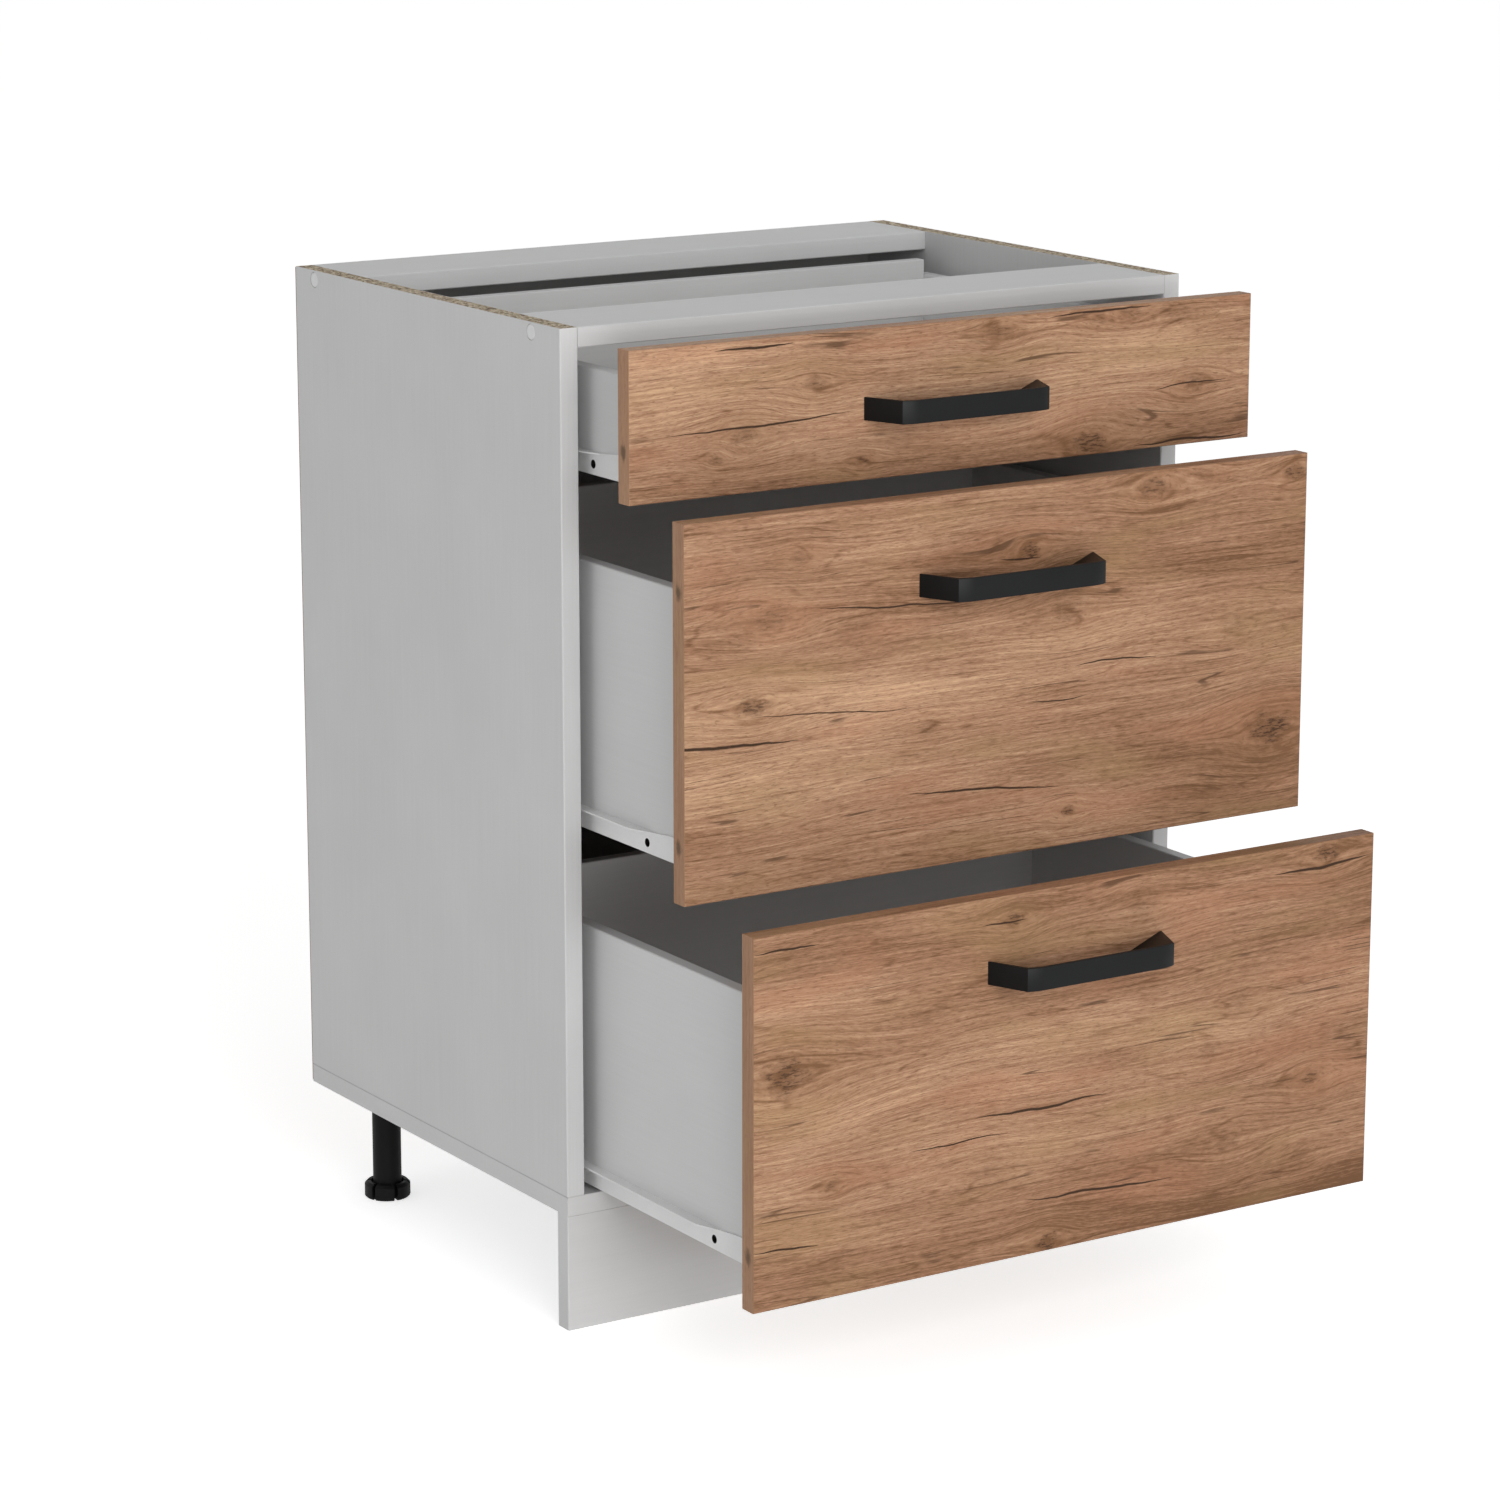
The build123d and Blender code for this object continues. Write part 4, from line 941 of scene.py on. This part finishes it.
def turned(profile, segments=36):
    """A closed turned body from (radius, height) points that start and end on its axis."""
    shape = bmesh.new()
    rings = []
    for radius, height in profile:
        angles = [2 * math.pi * i / segments for i in range(segments if radius else 1)]
        circle = [(radius * math.cos(a), radius * math.sin(a), height) for a in angles]
        rings.append([shape.verts.new(point) for point in circle])
    for lower, upper in zip(rings, rings[1:]):
        for i in range(segments):
            corners = []
            for ring, places in ((lower, (i, i + 1)), (upper, (i + 1, i))):
                for place in places:
                    vertex = ring[place % len(ring)]
                    if vertex not in corners:
                        corners.append(vertex)
            if len(corners) > 2:
                shape.faces.new(corners)
    bmesh.ops.recalc_face_normals(shape, faces=shape.faces)
    return shape


def cross_cutter(radius, height):
    """Two crossed bars that cut the recess of a pan head."""
    span, arm, depth = RECESS_SPAN * radius, RECESS_ARM * radius, RECESS_DEPTH * height
    shape = bmesh.new()
    for length, width in ((span, arm), (arm, span)):
        place = Matrix.Translation((0.0, 0.0, height)) @ Matrix.Diagonal((length, width, 2 * depth, 1.0))
        bmesh.ops.create_cube(shape, size=1.0, matrix=place)
    return loose_object("screw_cutter", shape)


def cross_head(radius, height, shank=None):
    """The mesh of a pan head with a cross recess, its seat at height 0.

    It stands on a pointed shank of (radius, length) if one is given.
    """
    profile = [(0.0, 0.0), (radius, 0.0)]
    if shank:
        half, length = shank
        profile = [(0.0, -length), (half, half - length), (half, 0.0), (radius, 0.0)]
    profile += [(radius * across, height * up) for across, up in HEAD_CROWN]
    blank = loose_object("screw_blank", turned(profile))
    cutter = cross_cutter(radius, height)
    recess = blank.modifiers.new("recess", "BOOLEAN")
    recess.operation = "DIFFERENCE"
    recess.solver = "EXACT"
    recess.use_self = True
    recess.object = cutter
    finished = blank.evaluated_get(bpy.context.evaluated_depsgraph_get())
    mesh = bpy.data.meshes.new_from_object(finished)
    for used in (blank, cutter):
        used_mesh = used.data
        bpy.data.objects.remove(used)
        bpy.data.meshes.remove(used_mesh)
    return mesh


def screws(name, head, places, axis, body, finish, stands_for=None):
    """Screws of one size whose seats are at these places, heads looking along axis, as one riding piece."""
    shape = bmesh.new()
    turn = Vector(axis).to_track_quat("Z", "Y").to_matrix().to_4x4()
    for place in places:
        before = len(shape.verts)
        shape.from_mesh(head)
        shape.verts.ensure_lookup_table()
        bmesh.ops.transform(shape, matrix=Matrix.Translation(place) @ turn, verts=shape.verts[before:])
    piece = loose_object(name, shape)
    smooth(piece, SCREW_SHARP)
    piece.data.materials.append(finish)
    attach(piece, body)
    if stands_for:
        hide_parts(stands_for)


def leg_screws(head, finish):
    """Four screws up through the flange of each leg."""
    for side in ("left", "right"):
        low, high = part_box(f"rear_leg_{side}")
        middle = ((low[0] + high[0]) / 2, (low[1] + high[1]) / 2)
        seats = []
        for x in (-LEG_SCREW_SPREAD, LEG_SCREW_SPREAD):
            for y in (-LEG_SCREW_SPREAD, LEG_SCREW_SPREAD):
                seats.append((middle[0] + x, middle[1] + y, high[2] - LEG_FLANGE))
        screws(f"leg_screws_{side}", head, seats, (0, 0, -1), "carcass", finish)


def bracket_screws(head, finish):
    """Two screws for each plinth bracket, into the plinth and up into the bottom panel."""
    low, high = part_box("plinth_brackets")
    upright = [(x, low[1] + BRACKET_SHEET, high[2] - BRACKET_HOLE_REACH) for x in BRACKET_PLACES]
    level = [(x, low[1] + BRACKET_HOLE_REACH, high[2] - BRACKET_SHEET) for x in BRACKET_PLACES]
    screws("bracket_screws_plinth", head, upright, (0, 1, 0), "carcass", finish)
    screws("bracket_screws_panel", head, level, (0, 0, -1), "carcass", finish)


def runner_screws(number, head, finish):
    """Screws of one drawer's runners, into the side panels and up into the drawer's sides."""
    drawer = f"drawer_{number}"
    for side, sign in (("left", -1), ("right", 1)):
        low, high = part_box(f"cabinet_runner_{side}_{number}")
        web = low[0] + RUNNER_SHEET if sign < 0 else high[0] - RUNNER_SHEET
        seats = [(web, low[1] + place, (low[2] + high[2]) / 2) for place in RUNNER_SCREW_PLACES]
        own_name = f"cabinet_runner_screws_{side}_{number}"
        screws(own_name, head, seats, (-sign, 0, 0), "carcass", finish)
        low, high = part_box(f"{drawer}_runner_{side}")
        seats = [(sign * DRAWER_BOARD_MIDDLE, low[1] + place, low[2]) for place in RUNNER_SCREW_PLACES]
        screws(f"{drawer}_runner_screws_{side}", head, seats, (0, 0, -1), drawer, finish)


def handle_screws(number, finish):
    """The two screws of one handle, from inside the drawer's front."""
    drawer = f"drawer_{number}"
    low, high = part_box(f"{drawer}_handle_screws")
    middle = (low[2] + high[2]) / 2
    seat = high[1] - HANDLE_SCREW_HEAD
    screw = cross_head(high[2] - middle, HANDLE_SCREW_HEAD, (HANDLE_SCREW_SHANK, seat - low[1]))
    seats = [(x, seat, middle) for x in (-HANDLE_HOLE_HALF, HANDLE_HOLE_HALF)]
    own_name = f"{drawer}_handle_screws_detailed"
    screws(own_name, screw, seats, (0, 1, 0), drawer, finish, f"{drawer}_handle_screws")


def fit_screws(finish):
    """The screws of legs, plinth brackets, runners and handles."""
    wide_head = cross_head(*WIDE_HEAD)
    low_head = cross_head(*LOW_HEAD)
    leg_screws(wide_head, finish)
    bracket_screws(wide_head, finish)
    for number in DRAWERS:
        runner_screws(number, low_head, finish)
        handle_screws(number, finish)


def lamp(name, place, width, height, power):
    """A soft area light at place, turned to the lamps' target."""
    light = bpy.data.lights.new(name, "AREA")
    light.shape = "RECTANGLE"
    light.size = width
    light.size_y = height
    light.energy = power
    holder = bpy.data.objects.new(name, light)
    holder.location = place
    holder.rotation_euler = (Vector(LAMP_TARGET) - Vector(place)).to_track_quat("-Z", "Y").to_euler()
    bpy.context.scene.collection.objects.link(holder)


def seen_ray(n):
    """1 for rays by which the camera sees the surroundings, straight, in gloss or through glass."""
    path = n.add("LightPath").outputs
    return n.largest(path["Is Camera Ray"], path["Is Glossy Ray"], path["Is Transmission Ray"])


def surroundings():
    """A white background that is seen as white and lights the object at a plain level."""
    world = bpy.data.worlds.new("studio")
    world.use_nodes = True
    bpy.context.scene.world = world
    n = Nodes(world.node_tree)
    n.tree.nodes.clear()
    lighting = n.add("Background", {"Color": WHITE, "Strength": WORLD_LIGHT})
    seen = n.add("Background", {"Color": WHITE, "Strength": 1.0})
    mixed = n.add("MixShader", {0: seen_ray(n), 1: lighting.outputs[0], 2: seen.outputs[0]})
    n.add("OutputWorld", {"Surface": mixed.outputs[0]})


def floor():
    """A pale floor that keeps the object's shadow."""
    shape = bmesh.new()
    bmesh.ops.create_circle(shape, cap_ends=True, segments=FLOOR_SIDES, radius=FLOOR_RADIUS)
    plane = loose_object("floor", shape)
    f = Finish("floor", roughness=FLOOR_ROUGHNESS, specular_ior_level=0.0, emission_color=WHITE)
    f.set("Base Color", (FLOOR_COLOUR, FLOOR_COLOUR, FLOOR_COLOUR, 1.0))
    f.set("Emission Strength", f.times(seen_ray(f), FLOOR_LIFT))
    plane.data.materials.append(f.material)


def camera():
    """The camera of the photograph, pitched down, with no shift."""
    lens = bpy.data.cameras.new("camera")
    lens.lens = CAMERA_LENS
    lens.sensor_width = CAMERA_SENSOR
    lens.clip_end = 4 * FLOOR_RADIUS
    holder = bpy.data.objects.new("camera", lens)
    holder.location = CAMERA_PLACE
    holder.rotation_euler = (math.radians(90 - CAMERA_PITCH), 0.0, math.radians(-CAMERA_YAW))
    bpy.context.scene.collection.objects.link(holder)
    bpy.context.scene.camera = holder


def studio():
    """Floor, background, soft lights and the camera."""
    bpy.context.scene.view_settings.view_transform = "Standard"
    surroundings()
    floor()
    for name, settings in LAMPS.items():
        lamp(name, *settings)
    camera()


finishes = dress_frame()
fit_screws(finishes["zinc_steel"])
for number in DRAWERS:
    bow_handle(number, finishes["black_metal"])
studio()
